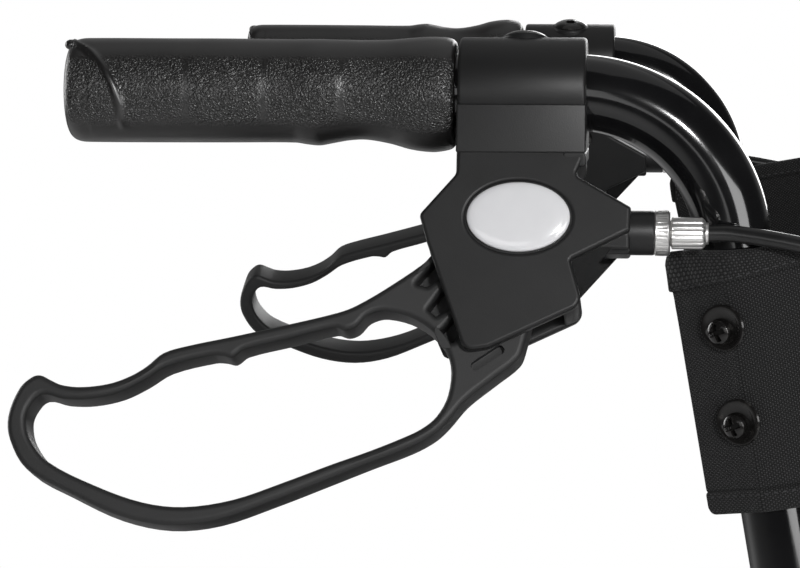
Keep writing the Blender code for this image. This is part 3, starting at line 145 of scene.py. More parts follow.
GUIDE_Z = 0.600
GUIDE_R = 0.0055
GUIDE_LENGTH = 0.024
CABLE_RUN_HALF = 0.2112
BRAKE_PIN = Vector((-0.1794, 0.0, 0.232))
BRAKE_EAR = 0.022
NUT_R = 0.0066
PAD_TILT = radians(5.0)
BAG_HALF = 0.140
BAG_TOP_Z = 0.575
BAG_BOTTOM_Z = 0.365
BAG_BACK_OFFSET = 0.032
BAG_DEPTH = 0.105
BAG_LOOP_HALF = 0.085
POCKET_HALF = 0.098
POCKET_RISE = 0.10
GAP = 0.0003
SHARP = 38.0                  # degrees between faces, above which an edge shows

UPRIGHT = Vector((sin(LEAN), 0.0, -cos(LEAN)))
FORWARD = Vector((cos(LEAN), 0.0, sin(LEAN)))
ACROSS = Vector((0.0, 1.0, 0.0))
UP = Vector((0.0, 0.0, 1.0))
MIRROR = Matrix.Diagonal((1.0, -1.0, 1.0, 1.0))
SIDE_VIEW = Matrix.Rotation(radians(90.0), 4, "X")
ALONG_HANDLE = Matrix.Rotation(radians(90.0), 4, "Y")
BEND_CUT = HANDLE_BEND_R * tan((pi / 2 - LEAN) / 2)
HANDLE_HEIGHT = FRAME_TOP_Z + (FRAME_TOP + BEND_CUT) * cos(LEAN)
CORNER_X = 0.17059


def upright_x(z):
    """X of the uprights' axis at height z."""
    return CORNER_X - (z - FRAME_CORNER_Z) * tan(LEAN)


DATUM_X = upright_x(HANDLE_HEIGHT) - 0.0097
BEND_END = Vector((upright_x(HANDLE_HEIGHT), 0.0, HANDLE_HEIGHT)) + UPRIGHT * BEND_CUT
PIVOT = Vector((upright_x(RAIL_Z), 0.0, RAIL_Z))
STRAP_CENTRE = STRAP_TOP + STRAP_HEIGHT / 2
STRAP_FACE = HANDLE_TUBE_R + GAP + STRAP_THICKNESS
SCREW_OUT = Vector((-sin(STRAP_SCREW_ANGLE), -cos(STRAP_SCREW_ANGLE), 0.0))
BRAKE = Matrix.Translation((DATUM_X, -HANDLE_HALF, HANDLE_HEIGHT)) @ Matrix.Rotation(
    pi / 2 - BRAKE_TILT, 4, "X")
COLLAR_IN_BRAKE = Matrix.Rotation(BRAKE_TILT, 4, "X")
CABLE_IN_BRAKE = Matrix.Translation((0.0, CABLE_Y, CABLE_OUT))
CABLE_AXIS = BRAKE @ CABLE_IN_BRAKE
RIGHT_SIDE = Matrix.Translation((0.0, -HANDLE_HALF, 0.0))


def along_upright(distance, across=0.0, forward=0.0):
    """A point down the uprights' line from the handle's bend, moved across from the middle and forward."""
    return BEND_END + UPRIGHT * distance + FORWARD * forward + ACROSS * across


def upright_frame(distance, across=-HANDLE_HALF):
    """Stands a shape on an upright: x forward, y to the left, z up along the tube."""
    matrix = Matrix((FORWARD, ACROSS, -UPRIGHT)).transposed().to_4x4()
    return Matrix.Translation(along_upright(distance, across)) @ matrix


# Shapes

def linked(name, data):
    """A new object of the scene."""
    thing = bpy.data.objects.new(name, data)
    bpy.context.scene.collection.objects.link(thing)
    return thing


def evaluated(body):
    """The mesh that an object's modifiers make."""
    graph = bpy.context.evaluated_depsgraph_get()
    return bpy.data.meshes.new_from_object(body.evaluated_get(graph))


def written(bm, name="shape"):
    """A mesh from a finished bmesh."""
    mesh = bpy.data.meshes.new(name)
    bm.to_mesh(mesh)
    bm.free()
    return mesh


def closed_mesh(bm, sharp=SHARP):
    """The finished mesh: doubles merged, normals outward, edges above the angle sharp."""
    bmesh.ops.remove_doubles(bm, verts=bm.verts, dist=1e-6)
    bmesh.ops.recalc_face_normals(bm, faces=bm.faces)
    mesh = written(bm)
    mesh.shade_smooth()
    mesh.set_sharp_from_angle(angle=radians(sharp))
    return mesh


def full_turn(count):
    """Angles in equal steps once round."""
    return [2 * pi * i / count for i in range(count)]


def mirrored(profile):
    """The other half of a profile of (height, radius) points, mirrored and in reverse."""
    return [(-z, r) for z, r in reversed(profile)]


def lengths(points, closed=False):
    """Distance from the first point to each of the others, along the line."""
    points = points + points[:1] if closed else points
    total = [0.0]
    for a, b in zip(points, points[1:]):
        total.append(total[-1] + (Vector(b) - Vector(a)).length)
    return total


def loft(rings, looped=False, sharp=SHARP):
    """Faces between rings of equal count, with a cloth's own measure in metres as its UV map."""
    bm = bmesh.new()
    cloth = bm.loops.layers.uv.new("cloth")
    rows = [[bm.verts.new(point) for point in ring] for ring in rings]
    around = lengths(list(rings[len(rings) // 2]), True)
    centres = [sum((Vector(p) for p in ring), Vector()) / len(ring) for ring in rings]
    along = lengths(centres, looped)
    count = len(rows[0])
    last = len(rows) if looped else len(rows) - 1
    for i in range(last):
        first, second = rows[i], rows[(i + 1) % len(rows)]
        for j in range(count):
            k = (j + 1) % count
            face = bm.faces.new((first[j], first[k], second[k], second[j]))
            marks = ((i, j), (i, j + 1), (i + 1, j + 1), (i + 1, j))
            for corner, (a, b) in zip(face.loops, marks):
                corner[cloth].uv = (along[a], around[b])
    if not looped:
        bm.faces.new(rows[0])
        bm.faces.new(rows[-1])
    return closed_mesh(bm, sharp)


def turned(profile, sides=48, looped=False, wave=None):
    """A profile of (height, radius) points turned about Z, its radius waved by angle if asked."""
    rings = []
    for z, r in profile:
        ring = []
        for angle in full_turn(sides):
            reach = r * (wave(angle, z) if wave else 1.0)
            ring.append((reach * cos(angle), reach * sin(angle), z))
        rings.append(ring)
    return loft(rings, looped)


def rod(radius, low, high, edge=0.0006, sides=48):
    """A cylinder along Z with its edges rounded off."""
    if edge == 0.0:
        return turned([(low, radius), (high, radius)], sides)
    turns = (0.0, 0.52, 1.05, 1.5708)
    corner = [(edge * (1 - sin(a)), radius - edge * (1 - cos(a))) for a in turns]
    near = [(low + rise, r) for rise, r in reversed(corner)]
    far = [(high - rise, r) for rise, r in corner]
    face = corner[-1][1] - 0.0003
    return turned([(low, face)] + near + far + [(high, face)], sides)


def arc(centre, start, end, steps):
    """Points round a centre from one point to another."""
    radius = (start - centre).length
    first = (start - centre).normalized()
    last = (end - centre).normalized()
    return [centre + first.slerp(last, i / steps).normalized() * radius for i in range(steps + 1)]


def filleted(points, radius, steps=24):
    """The path with each inner corner rounded."""
    points = [Vector(p) for p in points]
    path = [points[0]]
    for before, corner, after in zip(points, points[1:], points[2:]):
        to_before = (before - corner).normalized()
        to_after = (after - corner).normalized()
        half = to_before.angle(to_after) / 2
        centre = corner + (to_before + to_after).normalized() * (radius / sin(half))
        path += arc(centre, corner + to_before * (radius / tan(half)),
                    corner + to_after * (radius / tan(half)), steps)
    path.append(points[-1])
    return path


def smooth(points, steps=4, closed=False):
    """Points on a curve that passes through the given ones."""
    points = [Vector(p) for p in points]
    count = len(points)
    curve = []
    for i in range(count if closed else count - 1):
        a, b, c, d = (points[k % count] if closed else points[min(max(k, 0), count - 1)]
                      for k in range(i - 1, i + 3))
        reach = (c - b).length
        leave = (c - a).normalized() * reach
        arrive = (d - b).normalized() * reach
        for s in range(steps):
            t = s / steps
            curve.append(b * (2 * t ** 3 - 3 * t ** 2 + 1) + leave * (t ** 3 - 2 * t ** 2 + t)
                         + c * (3 * t ** 2 - 2 * t ** 3) + arrive * (t ** 3 - t ** 2))
    if not closed:
        curve.append(points[-1])
    return curve


def tangents(path, looped=False):
    """The way ahead at each point of a path."""
    last = len(path) - 1
    if looped:
        return [(path[(i + 1) % len(path)] - path[i - 1]).normalized() for i in range(last + 1)]
    return [(path[min(i + 1, last)] - path[max(i - 1, 0)]).normalized() for i in range(last + 1)]


def sweep(path, section, across=ACROSS, looped=False, sharp=SHARP):
    """A section of (across, up) points carried along a path without twisting."""
    rings = []
    for i, (point, ahead) in enumerate(zip(path, tangents(path, looped))):
        across = (across - ahead * across.dot(ahead)).normalized()
        up = ahead.cross(across)
        shape = section(i / (len(path) - 1)) if callable(section) else section
        rings.append([point + across * u + up * v for u, v in shape])
    return loft(rings, looped, sharp)


def circle(radius, sides=40):
    """A round section for sweep."""
    return [(radius * sin(a), radius * cos(a)) for a in full_turn(sides)]


def tube(path, radius, sides=40, across=ACROSS, looped=False):
    """A round bar along a path."""
    return sweep(path, circle(radius, sides), across, looped)


def rounded(corners, turn=9.0):
    """A closed outline from (x, y, radius) corners."""
    outline = []
    count = len(corners)
    for i, (x, y, radius) in enumerate(corners):
        corner = Vector((x, y))
        to_before = (Vector(corners[i - 1][:2]) - corner).normalized()
        to_after = (Vector(corners[(i + 1) % count][:2]) - corner).normalized()
        bend = pi - to_before.angle(to_after)
        if radius == 0.0 or bend < 0.02:
            outline.append(corner)
            continue
        half = (pi - bend) / 2
        centre = corner + (to_before + to_after).normalized() * (radius / sin(half))
        outline += arc(centre, corner + to_before * (radius / tan(half)),
                       corner + to_after * (radius / tan(half)), max(2, round(degrees(bend) / turn)))
    return outline


def inset(outline, distance):
    """The outline moved inward, or outward for a negative distance."""
    count = len(outline)
    area = sum(outline[i - 1].x * outline[i].y - outline[i].x * outline[i - 1].y for i in range(count))
    turn = 1.0 if area > 0 else -1.0
    moved = []
    for i, point in enumerate(outline):
        before = (point - outline[i - 1]).normalized()
        after = (outline[(i + 1) % count] - point).normalized()
        normal = (Vector((-before.y, before.x)) + Vector((-after.y, after.x))).normalized()
        stretch = min(1.5, 1.0 / max(0.4, normal.dot(Vector((-after.y, after.x)))))
        moved.append(point + normal * (turn * distance * stretch))
    return moved


def plate(outline, low, high, edge=0.0008, holes=(), steps=4):
    """A flat plate between two heights, with holes and rounded edges."""
    turns = [pi / 2 * k / steps for k in range(steps + 1)]
    levels = [(low, edge + 0.0002)]
    levels += [(low + edge * (1 - sin(a)), edge * (1 - cos(a))) for a in reversed(turns)]
    levels += [(high - edge * (1 - sin(a)), edge * (1 - cos(a))) for a in turns]
    levels += [(high, edge + 0.0002)]
    bm = bmesh.new()
    caps = {0: [], len(levels) - 1: []}
    for loop, sign in [(outline, 1.0)] + [(hole, -1.0) for hole in holes]:
        count = len(loop)
        rows = []
        for level, (height, shift) in enumerate(levels):
            row = [bm.verts.new((p.x, p.y, height)) for p in inset(loop, sign * shift)]
            edges = [bm.edges.new((row[i - 1], row[i])) for i in range(count)]
            if level in caps:
                caps[level] += edges
            rows.append(row)
        for first, second in zip(rows, rows[1:]):
            for i in range(count):
                bm.faces.new((first[i - 1], first[i], second[i], second[i - 1]))
    for edges in caps.values():
        bmesh.ops.triangle_fill(bm, use_beauty=True, use_dissolve=False, edges=edges)
    return closed_mesh(bm)


def box(low, high, corner=0.001, edge=0.0006):
    """A block between two corners, with rounded edges."""
    outline = [(low[0], low[1], corner), (high[0], low[1], corner), (high[0], high[1], corner),
               (low[0], high[1], corner)]
    return plate(rounded(outline, 18.0), low[2], high[2], edge)


def ball(radius, stretch=(1.0, 1.0, 1.0), sides=20):
    """A rounded lump drawn about the origin."""
    rings = []
    for k in range(1, sides // 2):
        tilt = pi * k / (sides // 2)
        r = radius * sin(tilt)
        rings.append([(r * cos(a) * stretch[0], r * sin(a) * stretch[1],
                       -radius * cos(tilt) * stretch[2]) for a in full_turn(sides)])
    return loft(rings, sharp=80.0)


def shifted(mesh, matrix):
    """The mesh moved by a matrix, turned right side out if that mirrors it."""
    mesh = mesh.copy()
    mesh.transform(matrix)
    if matrix.determinant() < 0:
        mesh.flip_normals()
    return mesh


def together(*meshes):
    """Several shapes as one mesh."""
    bm = bmesh.new()
    for mesh in meshes:
        bm.from_mesh(mesh)
    return written(bm)


def both_sides(*meshes):
    """Each shape with its mirror image."""
    return [copy for mesh in meshes for copy in (mesh, shifted(mesh, MIRROR))]


def facing(direction, place):
    """A matrix that stands a shape drawn along Z at a place, along a direction."""
    return Matrix.Translation(place) @ Vector(direction).to_track_quat("Z", "Y").to_matrix().to_4x4()


def crosswise(mesh, place):
    """A shape drawn along Z, laid along -Y with its datum at the place."""
    return shifted(mesh, Matrix.Translation(place) @ SIDE_VIEW)


def cut(base, *others):
    """The base mesh with the others cut from it."""
    for other in others:
        bodies = [linked("body", mesh) for mesh in (base, other)]
        modifier = bodies[0].modifiers.new("cut", "BOOLEAN")
        modifier.operation = "DIFFERENCE"
        modifier.object = bodies[1]
        base = evaluated(bodies[0])
        for body in bodies:
            bpy.data.objects.remove(body)
    base.shade_smooth()
    base.set_sharp_from_angle(angle=radians(SHARP))
    return base


def cloth_map(mesh):
    """Lays the cloth's threads square on each side of a sewn piece, in metres."""
    layer = mesh.uv_layers.get("cloth") or mesh.uv_layers.new(name="cloth")
    for face in mesh.polygons:
        size = [abs(n) for n in face.normal]
        side = size.index(max(size))
        for loop in face.loop_indices:
            p = mesh.vertices[mesh.loops[loop].vertex_index].co
            layer.data[loop].uv = ((p.y, p.z), (p.x, p.z), (p.x, p.y))[side]
    return mesh


# Repeats, as node trees

class Nodes:
    """A node tree to which nodes are added, each with its settings and inputs."""

    def __init__(self, tree):
        self.tree = tree

    def node(self, kind, settings, inputs, output=0):
        node = self.tree.nodes.new(kind)
        for key, value in settings.items():
            setattr(node, key, value)
        for key, value in inputs.items():
            self.connect(node.inputs[key], value)
        return node.outputs[output]

    def connect(self, socket, value):
        if isinstance(value, bpy.types.NodeSocket):
            self.tree.links.new(value, socket)
        else:
            socket.default_value = value


class Tree(Nodes):
    """A geometry node tree whose unit is the mesh that it stands on."""

    def __init__(self, name, **inputs):
        super().__init__(bpy.data.node_groups.new(name, "GeometryNodeTree"))
        face = self.tree.interface
        face.new_socket("Unit", in_out="INPUT", socket_type="NodeSocketGeometry")
        for label, kind in inputs.items():
            face.new_socket(label, in_out="INPUT", socket_type="NodeSocket" + kind)
        face.new_socket("Material", in_out="INPUT", socket_type="NodeSocketMaterial")
        face.new_socket("Result", in_out="OUTPUT", socket_type="NodeSocketGeometry")
        self.given = self.tree.nodes.new("NodeGroupInput").outputs

    def ends_in(self, instances):
        real = self.node("GeometryNodeRealizeInstances", {}, {"Geometry": instances})
        painted = self.node("GeometryNodeSetMaterial", {},
                            {"Geometry": real, "Material": self.given["Material"]})
        out = self.tree.nodes.new("NodeGroupOutput")
        self.tree.links.new(painted, out.inputs[0])

    def grown(self, unit, material, **values):
        """The tree's result on a unit mesh, as a plain mesh."""
        body = linked("unit", unit)
        modifier = body.modifiers.new("repeat", "NODES")
        modifier.node_group = self.tree
        values["Material"] = material
        for item in self.tree.interface.items_tree:
            if item.item_type == "SOCKET" and item.in_out == "INPUT" and item.name in values:
                modifier[item.identifier] = values[item.name]
        mesh = evaluated(body)
        bpy.data.objects.remove(body)
        return mesh


def ring_tree():
    """The unit repeated round the Z axis."""
    tree = Tree("round_an_axle", Count="Int", Step="Float")
    points = tree.node("GeometryNodePoints", {}, {"Count": tree.given["Count"]})
    place = tree.node("GeometryNodeInputIndex", {}, {})
    turn = tree.node("ShaderNodeMath", {"operation": "MULTIPLY"}, {0: place, 1: tree.given["Step"]})
    spin = tree.node("ShaderNodeCombineXYZ", {}, {"Z": turn})
    tree.ends_in(tree.node("GeometryNodeInstanceOnPoints", {},
                           {"Points": points, "Instance": tree.given["Unit"], "Rotation": spin}))
    return tree


def path_tree():
    """The unit repeated along a line, its Z axis along the line."""
    tree = Tree("along_a_line", Line="Object", Spacing="Float")
    line = tree.node("GeometryNodeObjectInfo", {}, {"Object": tree.given["Line"]}, "Geometry")
    points = tree.node("GeometryNodeCurveToPoints", {"mode": "LENGTH"},
                       {"Curve": line, "Length": tree.given["Spacing"]}, "Points")
    tree.ends_in(tree.node("GeometryNodeInstanceOnPoints", {}, {
        "Points": points, "Instance": tree.given["Unit"], "Rotation": points.node.outputs["Rotation"]}))
    return tree


ROUND_AN_AXLE = ring_tree()
ALONG_A_LINE = path_tree()


def round_axle(unit, count, material):
    """The unit repeated in equal steps once round Z."""
    return ROUND_AN_AXLE.grown(unit, material, Count=count, Step=2 * pi / count)


def along_line(unit, points, spacing, material, closed=False):
    """The unit at equal steps along a line of points."""
    curve = bpy.data.curves.new("line", "CURVE")
    curve.dimensions = "3D"
    spline = curve.splines.new("POLY")
    spline.points.add(len(points) - 1)
    for spot, point in zip(spline.points, points):
        spot.co = (*point, 1.0)
    spline.use_cyclic_u = closed
    line = linked("line", curve)
    mesh = ALONG_A_LINE.grown(unit, material, Line=line, Spacing=spacing)
    bpy.data.objects.remove(line)
    return mesh


# Finishes

class Signal:
    """A shader socket that takes part in Python sums."""

    def __init__(self, finish, socket):
        self.finish = finish
        self.socket = socket

    def maths(self, operation, *terms):
        return self.finish.node("ShaderNodeMath", {"operation": operation}, dict(enumerate(terms)))

    def __add__(self, other):
        return self.maths("ADD", self, other)

    def __sub__(self, other):
        return self.maths("SUBTRACT", self, other)

    def __rsub__(self, other):
        return self.maths("SUBTRACT", other, self)

    def __mul__(self, other):
        return self.maths("MULTIPLY", self, other)

    __radd__ = __add__
    __rmul__ = __mul__

    def sine(self):
        return self.maths("SINE", self)

    def higher_of(self, other):
        return self.maths("MAXIMUM", self, other)

    def between(self, low, high):
        """0 below low, 1 above high, and smooth from one to the other."""
        return self.finish.node("ShaderNodeMapRange", {"interpolation_type": "SMOOTHSTEP"},
                                {"Value": self, "From Min": low, "From Max": high})


class Finish(Nodes):
    """A procedural material."""

    def __init__(self, name, colour, roughness, **values):
        self.material = bpy.data.materials.new(name)
        self.material.use_nodes = True
        super().__init__(self.material.node_tree)
        self.shader = self.tree.nodes["Principled BSDF"]
        self.feed("Base Color", (*colour, 1.0))
        self.feed("Roughness", roughness)
        for socket, value in values.items():
            self.feed(socket.replace("_", " "), value)

    def node(self, kind, settings, inputs, output=0):
        return Signal(self, super().node(kind, settings, inputs, output))

    def connect(self, socket, value):
        super().connect(socket, value.socket if isinstance(value, Signal) else value)

    def feed(self, name, value):
        self.connect(self.shader.inputs[name], value)

    def place(self):
        return self.node("ShaderNodeTexCoord", {}, {}, "Object")

    def noise(self, scale, detail=2.0, place=None):
        return self.node("ShaderNodeTexNoise", {}, {"Vector": place or self.place(), "Scale": scale,
                                                    "Detail": detail}, "Fac")

    def mixed(self, factor, first, second):
        """A colour between two others."""
        mix = self.tree.nodes.new("ShaderNodeMix")
        mix.data_type = "RGBA"
        self.connect(mix.inputs["Factor"], factor)
        for index, colour in ((6, first), (7, second)):
            self.connect(mix.inputs[index], colour if isinstance(colour, Signal) else (*colour, 1.0))
        return Signal(self, mix.outputs[2])

    def bump(self, height, distance, strength=1.0):
        relief = self.node("ShaderNodeBump", {}, {"Height": height, "Distance": distance,
                                                  "Strength": strength})
        self.feed("Normal", relief)


def gloss_paint():
    """Black powder-coated tube with a deep gloss and a faint orange peel."""
    paint = Finish("gloss_black_paint", (0.005, 0.005, 0.0055), 0.11, Coat_Weight=0.5, Coat_Roughness=0.04,
                   Specular_IOR_Level=0.42)
    wear = paint.noise(45.0, 4.0).between(0.35, 0.75)
    paint.feed("Base Color", paint.mixed(wear, (0.004, 0.004, 0.0045), (0.007, 0.007, 0.0075)))
    paint.feed("Roughness", 0.09 + paint.noise(160.0, 3.0) * 0.08)
    paint.bump(paint.noise(420.0, 1.0), 0.00003, 0.12)
    return paint.material


def grip_vinyl():
    """Soft black vinyl with a fine pebbled skin, polished in patches by use. The pebbles are painted lighter
    on top and darker between, as painted highlight and shade.
    """
    vinyl = Finish("grip_vinyl", (0.009, 0.0085, 0.0085), 0.40, Specular_IOR_Level=1.0)
    place = vinyl.place()
    drift = vinyl.node("ShaderNodeTexNoise", {}, {"Vector": place, "Scale": 900.0, "Detail": 1.0}, "Color")
    warped = vinyl.node("ShaderNodeMix", {"data_type": "VECTOR"}, {"Factor": 0.0010, 4: place, 5: drift}, 1)
    cells = vinyl.node("ShaderNodeTexVoronoi", {"feature": "SMOOTH_F1"},
                       {"Vector": warped, "Scale": 1500.0, "Smoothness": 0.4}, "Distance")
    pebble = 1.0 - cells.between(0.10, 0.75)
    polish = vinyl.noise(70.0, 3.0, place).between(0.35, 0.70)
    skin = vinyl.node("ShaderNodeAttribute", {"attribute_name": "pebbled"}, {}, "Fac")
    # Pebble tops painted lighter and the hollows between them darker: painted highlight and painted shade.
    vinyl.feed("Base Color", vinyl.mixed(pebble * skin, (0.007, 0.0065, 0.0065), (0.012, 0.0115, 0.011)))
    vinyl.feed("Roughness", 0.38 - polish * 0.06)
    vinyl.bump(pebble * skin + vinyl.noise(90.0, 2.0, place) * 0.12, 0.00030, 1.0)
    return vinyl.material


def mottled(name, colours, roughness, cloud, skin=None, spread=None, **values):
    """A finish that drifts between two colours, its roughness with it, over a fine skin.

    roughness is (least, drift), cloud (scale, detail) and skin (scale, detail, depth, strength). The spread
    is the part of the cloud over which the colour changes.
    """
    finish = Finish(name, colours[0], roughness[0], **values)
    drift = finish.noise(*cloud)
    shade = drift.between(*spread) if spread else drift
    finish.feed("Base Color", finish.mixed(shade, *colours))
    finish.feed("Roughness", roughness[0] + drift * roughness[1])
    if skin:
        scale, detail, distance, strength = skin
        finish.bump(finish.noise(scale, detail), distance, strength)
    return finish.material


def woven(name, pitch, dark, light):
    """Black cloth of crossed threads that show as rows of knots, read from the piece's own cloth map. The
    knots are painted lighter, a painted highlight on the thread tops, and the gaps between them darker,
    painted shade.
    """
    cloth = Finish(name, light, 0.62, Sheen_Weight=0.06, Sheen_Roughness=0.5, Specular_IOR_Level=0.35)
    spot = cloth.node("ShaderNodeUVMap", {"uv_map": "cloth"}, {})
    split = cloth.tree.nodes.new("ShaderNodeSeparateXYZ")
    cloth.connect(split.inputs[0], spot)
    u = Signal(cloth, split.outputs[0]) * (pi / pitch)
    v = Signal(cloth, split.outputs[1]) * (pi / (pitch * 0.8))
    cross = u.sine() * v.sine()
    knot = cross.between(0.05, 0.80)
    thread = knot.higher_of((0.0 - cross).between(0.30, 1.00) * 0.30)
    fuzz = cloth.noise(1800.0, 2.0)
    fade = cloth.noise(28.0, 3.0)
    # Knots painted lighter and gaps darker: painted highlight on the thread tops, painted shade between them.
    cloth.feed("Base Color", cloth.mixed(thread * (0.65 + fade * 0.70), dark, light))
    cloth.feed("Roughness", 0.82 - thread * 0.30)
    cloth.bump(thread + fuzz * 0.22, 0.00034, 0.9)
    return cloth.material


# Black powder-coated tube
GLOSS = gloss_paint()
# Soft pebbled grips, their pebble tops painted lighter and hollows darker as painted highlight and shade
VINYL = grip_vinyl()
# Nylon of the brake housing, and the lever's duller nylon
NYLON = mottled("moulded_black", ((0.012, 0.012, 0.0122), (0.016, 0.016, 0.0162)), (0.36, 0.10), (60.0, 3.0),
                (2400.0, 2.0, 0.00005, 0.5), Specular_IOR_Level=0.34)
LEVER = mottled("lever_black", ((0.017, 0.017, 0.0172), (0.023, 0.023, 0.0232)), (0.46, 0.08), (60.0, 3.0),
                (2000.0, 2.0, 0.00006, 0.5), Specular_IOR_Level=0.42)
# Bright zinc on small turned parts
ZINC = mottled("zinc", ((0.74, 0.73, 0.72), (0.93, 0.92, 0.91)), (0.28, 0.20), (700.0, 3.0),
               (1500.0, 2.0, 0.00003, 0.5), Metallic=1.0)
# Black-oxide screws, rubbed bright in spots
STEEL = mottled("black_steel", ((0.014, 0.013, 0.0125), (0.050, 0.047, 0.044)), (0.17, 0.16), (260.0, 4.0),
                (900.0, 2.0, 0.00004, 0.4), (0.55, 0.75), Metallic=0.5, Coat_Weight=0.4)
# Clear resin over white, on the bare badge
RESIN = mottled("white_badge", ((0.76, 0.76, 0.78), (0.81, 0.81, 0.825)), (0.14, 0.05), (120.0, 2.0),
                Coat_Weight=1.0, Coat_Roughness=0.03)
# Cloths by their weave, the knots painted lighter as painted highlight and the gaps darker as painted shade
STRAP_CLOTH = woven("strap_cloth", 0.00080, (0.0030, 0.0030, 0.0030), (0.034, 0.034, 0.035))
SEAT_CLOTH = woven("seat_cloth", 0.00090, (0.004, 0.004, 0.004), (0.028, 0.028, 0.029))
BAG_CLOTH = woven("bag_cloth", 0.00110, (0.004, 0.004, 0.004), (0.030, 0.030, 0.031))
WEBBING = woven("webbing", 0.00150, (0.005, 0.005, 0.005), (0.032, 0.032, 0.033))
# Satin plastic of knobs, collars, rims and forks
SATIN = mottled("satin_black", ((0.011, 0.011, 0.0115), (0.018, 0.018, 0.0185)), (0.38, 0.12), (70.0, 3.0),
                (1500.0, 2.0, 0.00006, 0.5), Specular_IOR_Level=0.42)
# Matt rubber with a little dust on it
RUBBER = mottled("tyre_black", ((0.018, 0.018, 0.018), (0.050, 0.048, 0.045)), (0.62, 0.22), (38.0, 5.0),
                 (900.0, 3.0, 0.00018, 0.6), (0.45, 0.80))
# Smooth sleeve of the brake cables
SLEEVE = mottled("cable_black", ((0.008, 0.008, 0.008), (0.014, 0.014, 0.0145)), (0.25, 0.14), (180.0, 3.0),
                 (800.0, 2.0, 0.00004, 0.4), Coat_Weight=0.15)
# Bonded sewing thread
THREAD = mottled("sewing_thread", ((0.014, 0.014, 0.015), (0.044, 0.044, 0.046)), (0.45, 0.2), (2600.0, 2.0))


# Putting pieces on the frame

def dress(name, mesh, material, body, slot, *nodes):
    """A finished piece that rides on a body and stands for CAD nodes."""
    mesh.name = name
    mesh.materials.clear()
    mesh.materials.append(material)
    for face in mesh.polygons:
        face.material_index = 0
    piece = linked(name, mesh)
    if body:
        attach(piece, body)
    if nodes:
        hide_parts(*nodes)
    return piece


def pair(name, mesh, material, body, slot, *nodes):
    """The right-hand piece and its mirror image; {} in a body's or node's name stands for the side."""
    pieces = []
    for side, shape in (("right", mesh), ("left", shifted(mesh, MIRROR))):
        pieces.append(dress(f"{name}_{side}", shape, material, body and body.format(side), slot,
                            *(node.format(side) for node in nodes)))
    return pieces


# Handlebar

def handle_path():
    """The handle tube's middle line, from the grip's end down into the frame tube."""
    start = Vector((DATUM_X + GRIP_END_X + 0.004, 0.0, HANDLE_HEIGHT))
    corner = Vector((upright_x(HANDLE_HEIGHT), 0.0, HANDLE_HEIGHT))
    return filleted([start, corner, along_upright(FRAME_TOP + HANDLE_INSERT)], HANDLE_BEND_R, 36)


def grip_ridge_x(angle):
    """Where the grip's spiral ridge lies at an angle from the top, outward positive."""
    marks = ((-40.0, -0.2034), (0.0, -0.2032), (12.0, -0.2028), (25.0, -0.2008), (40.0, -0.1954),
             (62.0, -0.1901), (83.0, -0.1865), (104.0, -0.1845), (134.0, -0.1838), (180.0, -0.1836))
    turn = degrees(angle)
    for (a, x), (b, y) in zip(marks, marks[1:]):
        if a <= turn <= b:
            return x + (y - x) * (turn - a) / (b - a)
    return -1.0


def step_up(value, low, high):
    """0 below low, 1 above high, smooth between."""
    t = min(1.0, max(0.0, (value - low) / (high - low)))
    return t * t * (3 - 2 * t)


def pebbled(x, angle):
    """How rough the grip's skin is: pebbled panels for the fingers, smooth bands between and above them."""
    panel_length = 0.0258
    off = abs((x + 0.1756 + panel_length / 2) % panel_length - panel_length / 2)
    panel = 1.0 - step_up(off, 0.0098, 0.0134)
    if x < -0.1875 or x > -0.088:
        panel = 1.0
    turn = abs(degrees(angle))
    window = step_up(turn, 44.0, 56.0) * (1.0 - step_up(turn, 120.0, 134.0))
    ridge = step_up(abs(x - grip_ridge_x(angle)), 0.0012, 0.0020)
    return panel * window * ridge * step_up(x, -0.2030, -0.2005)


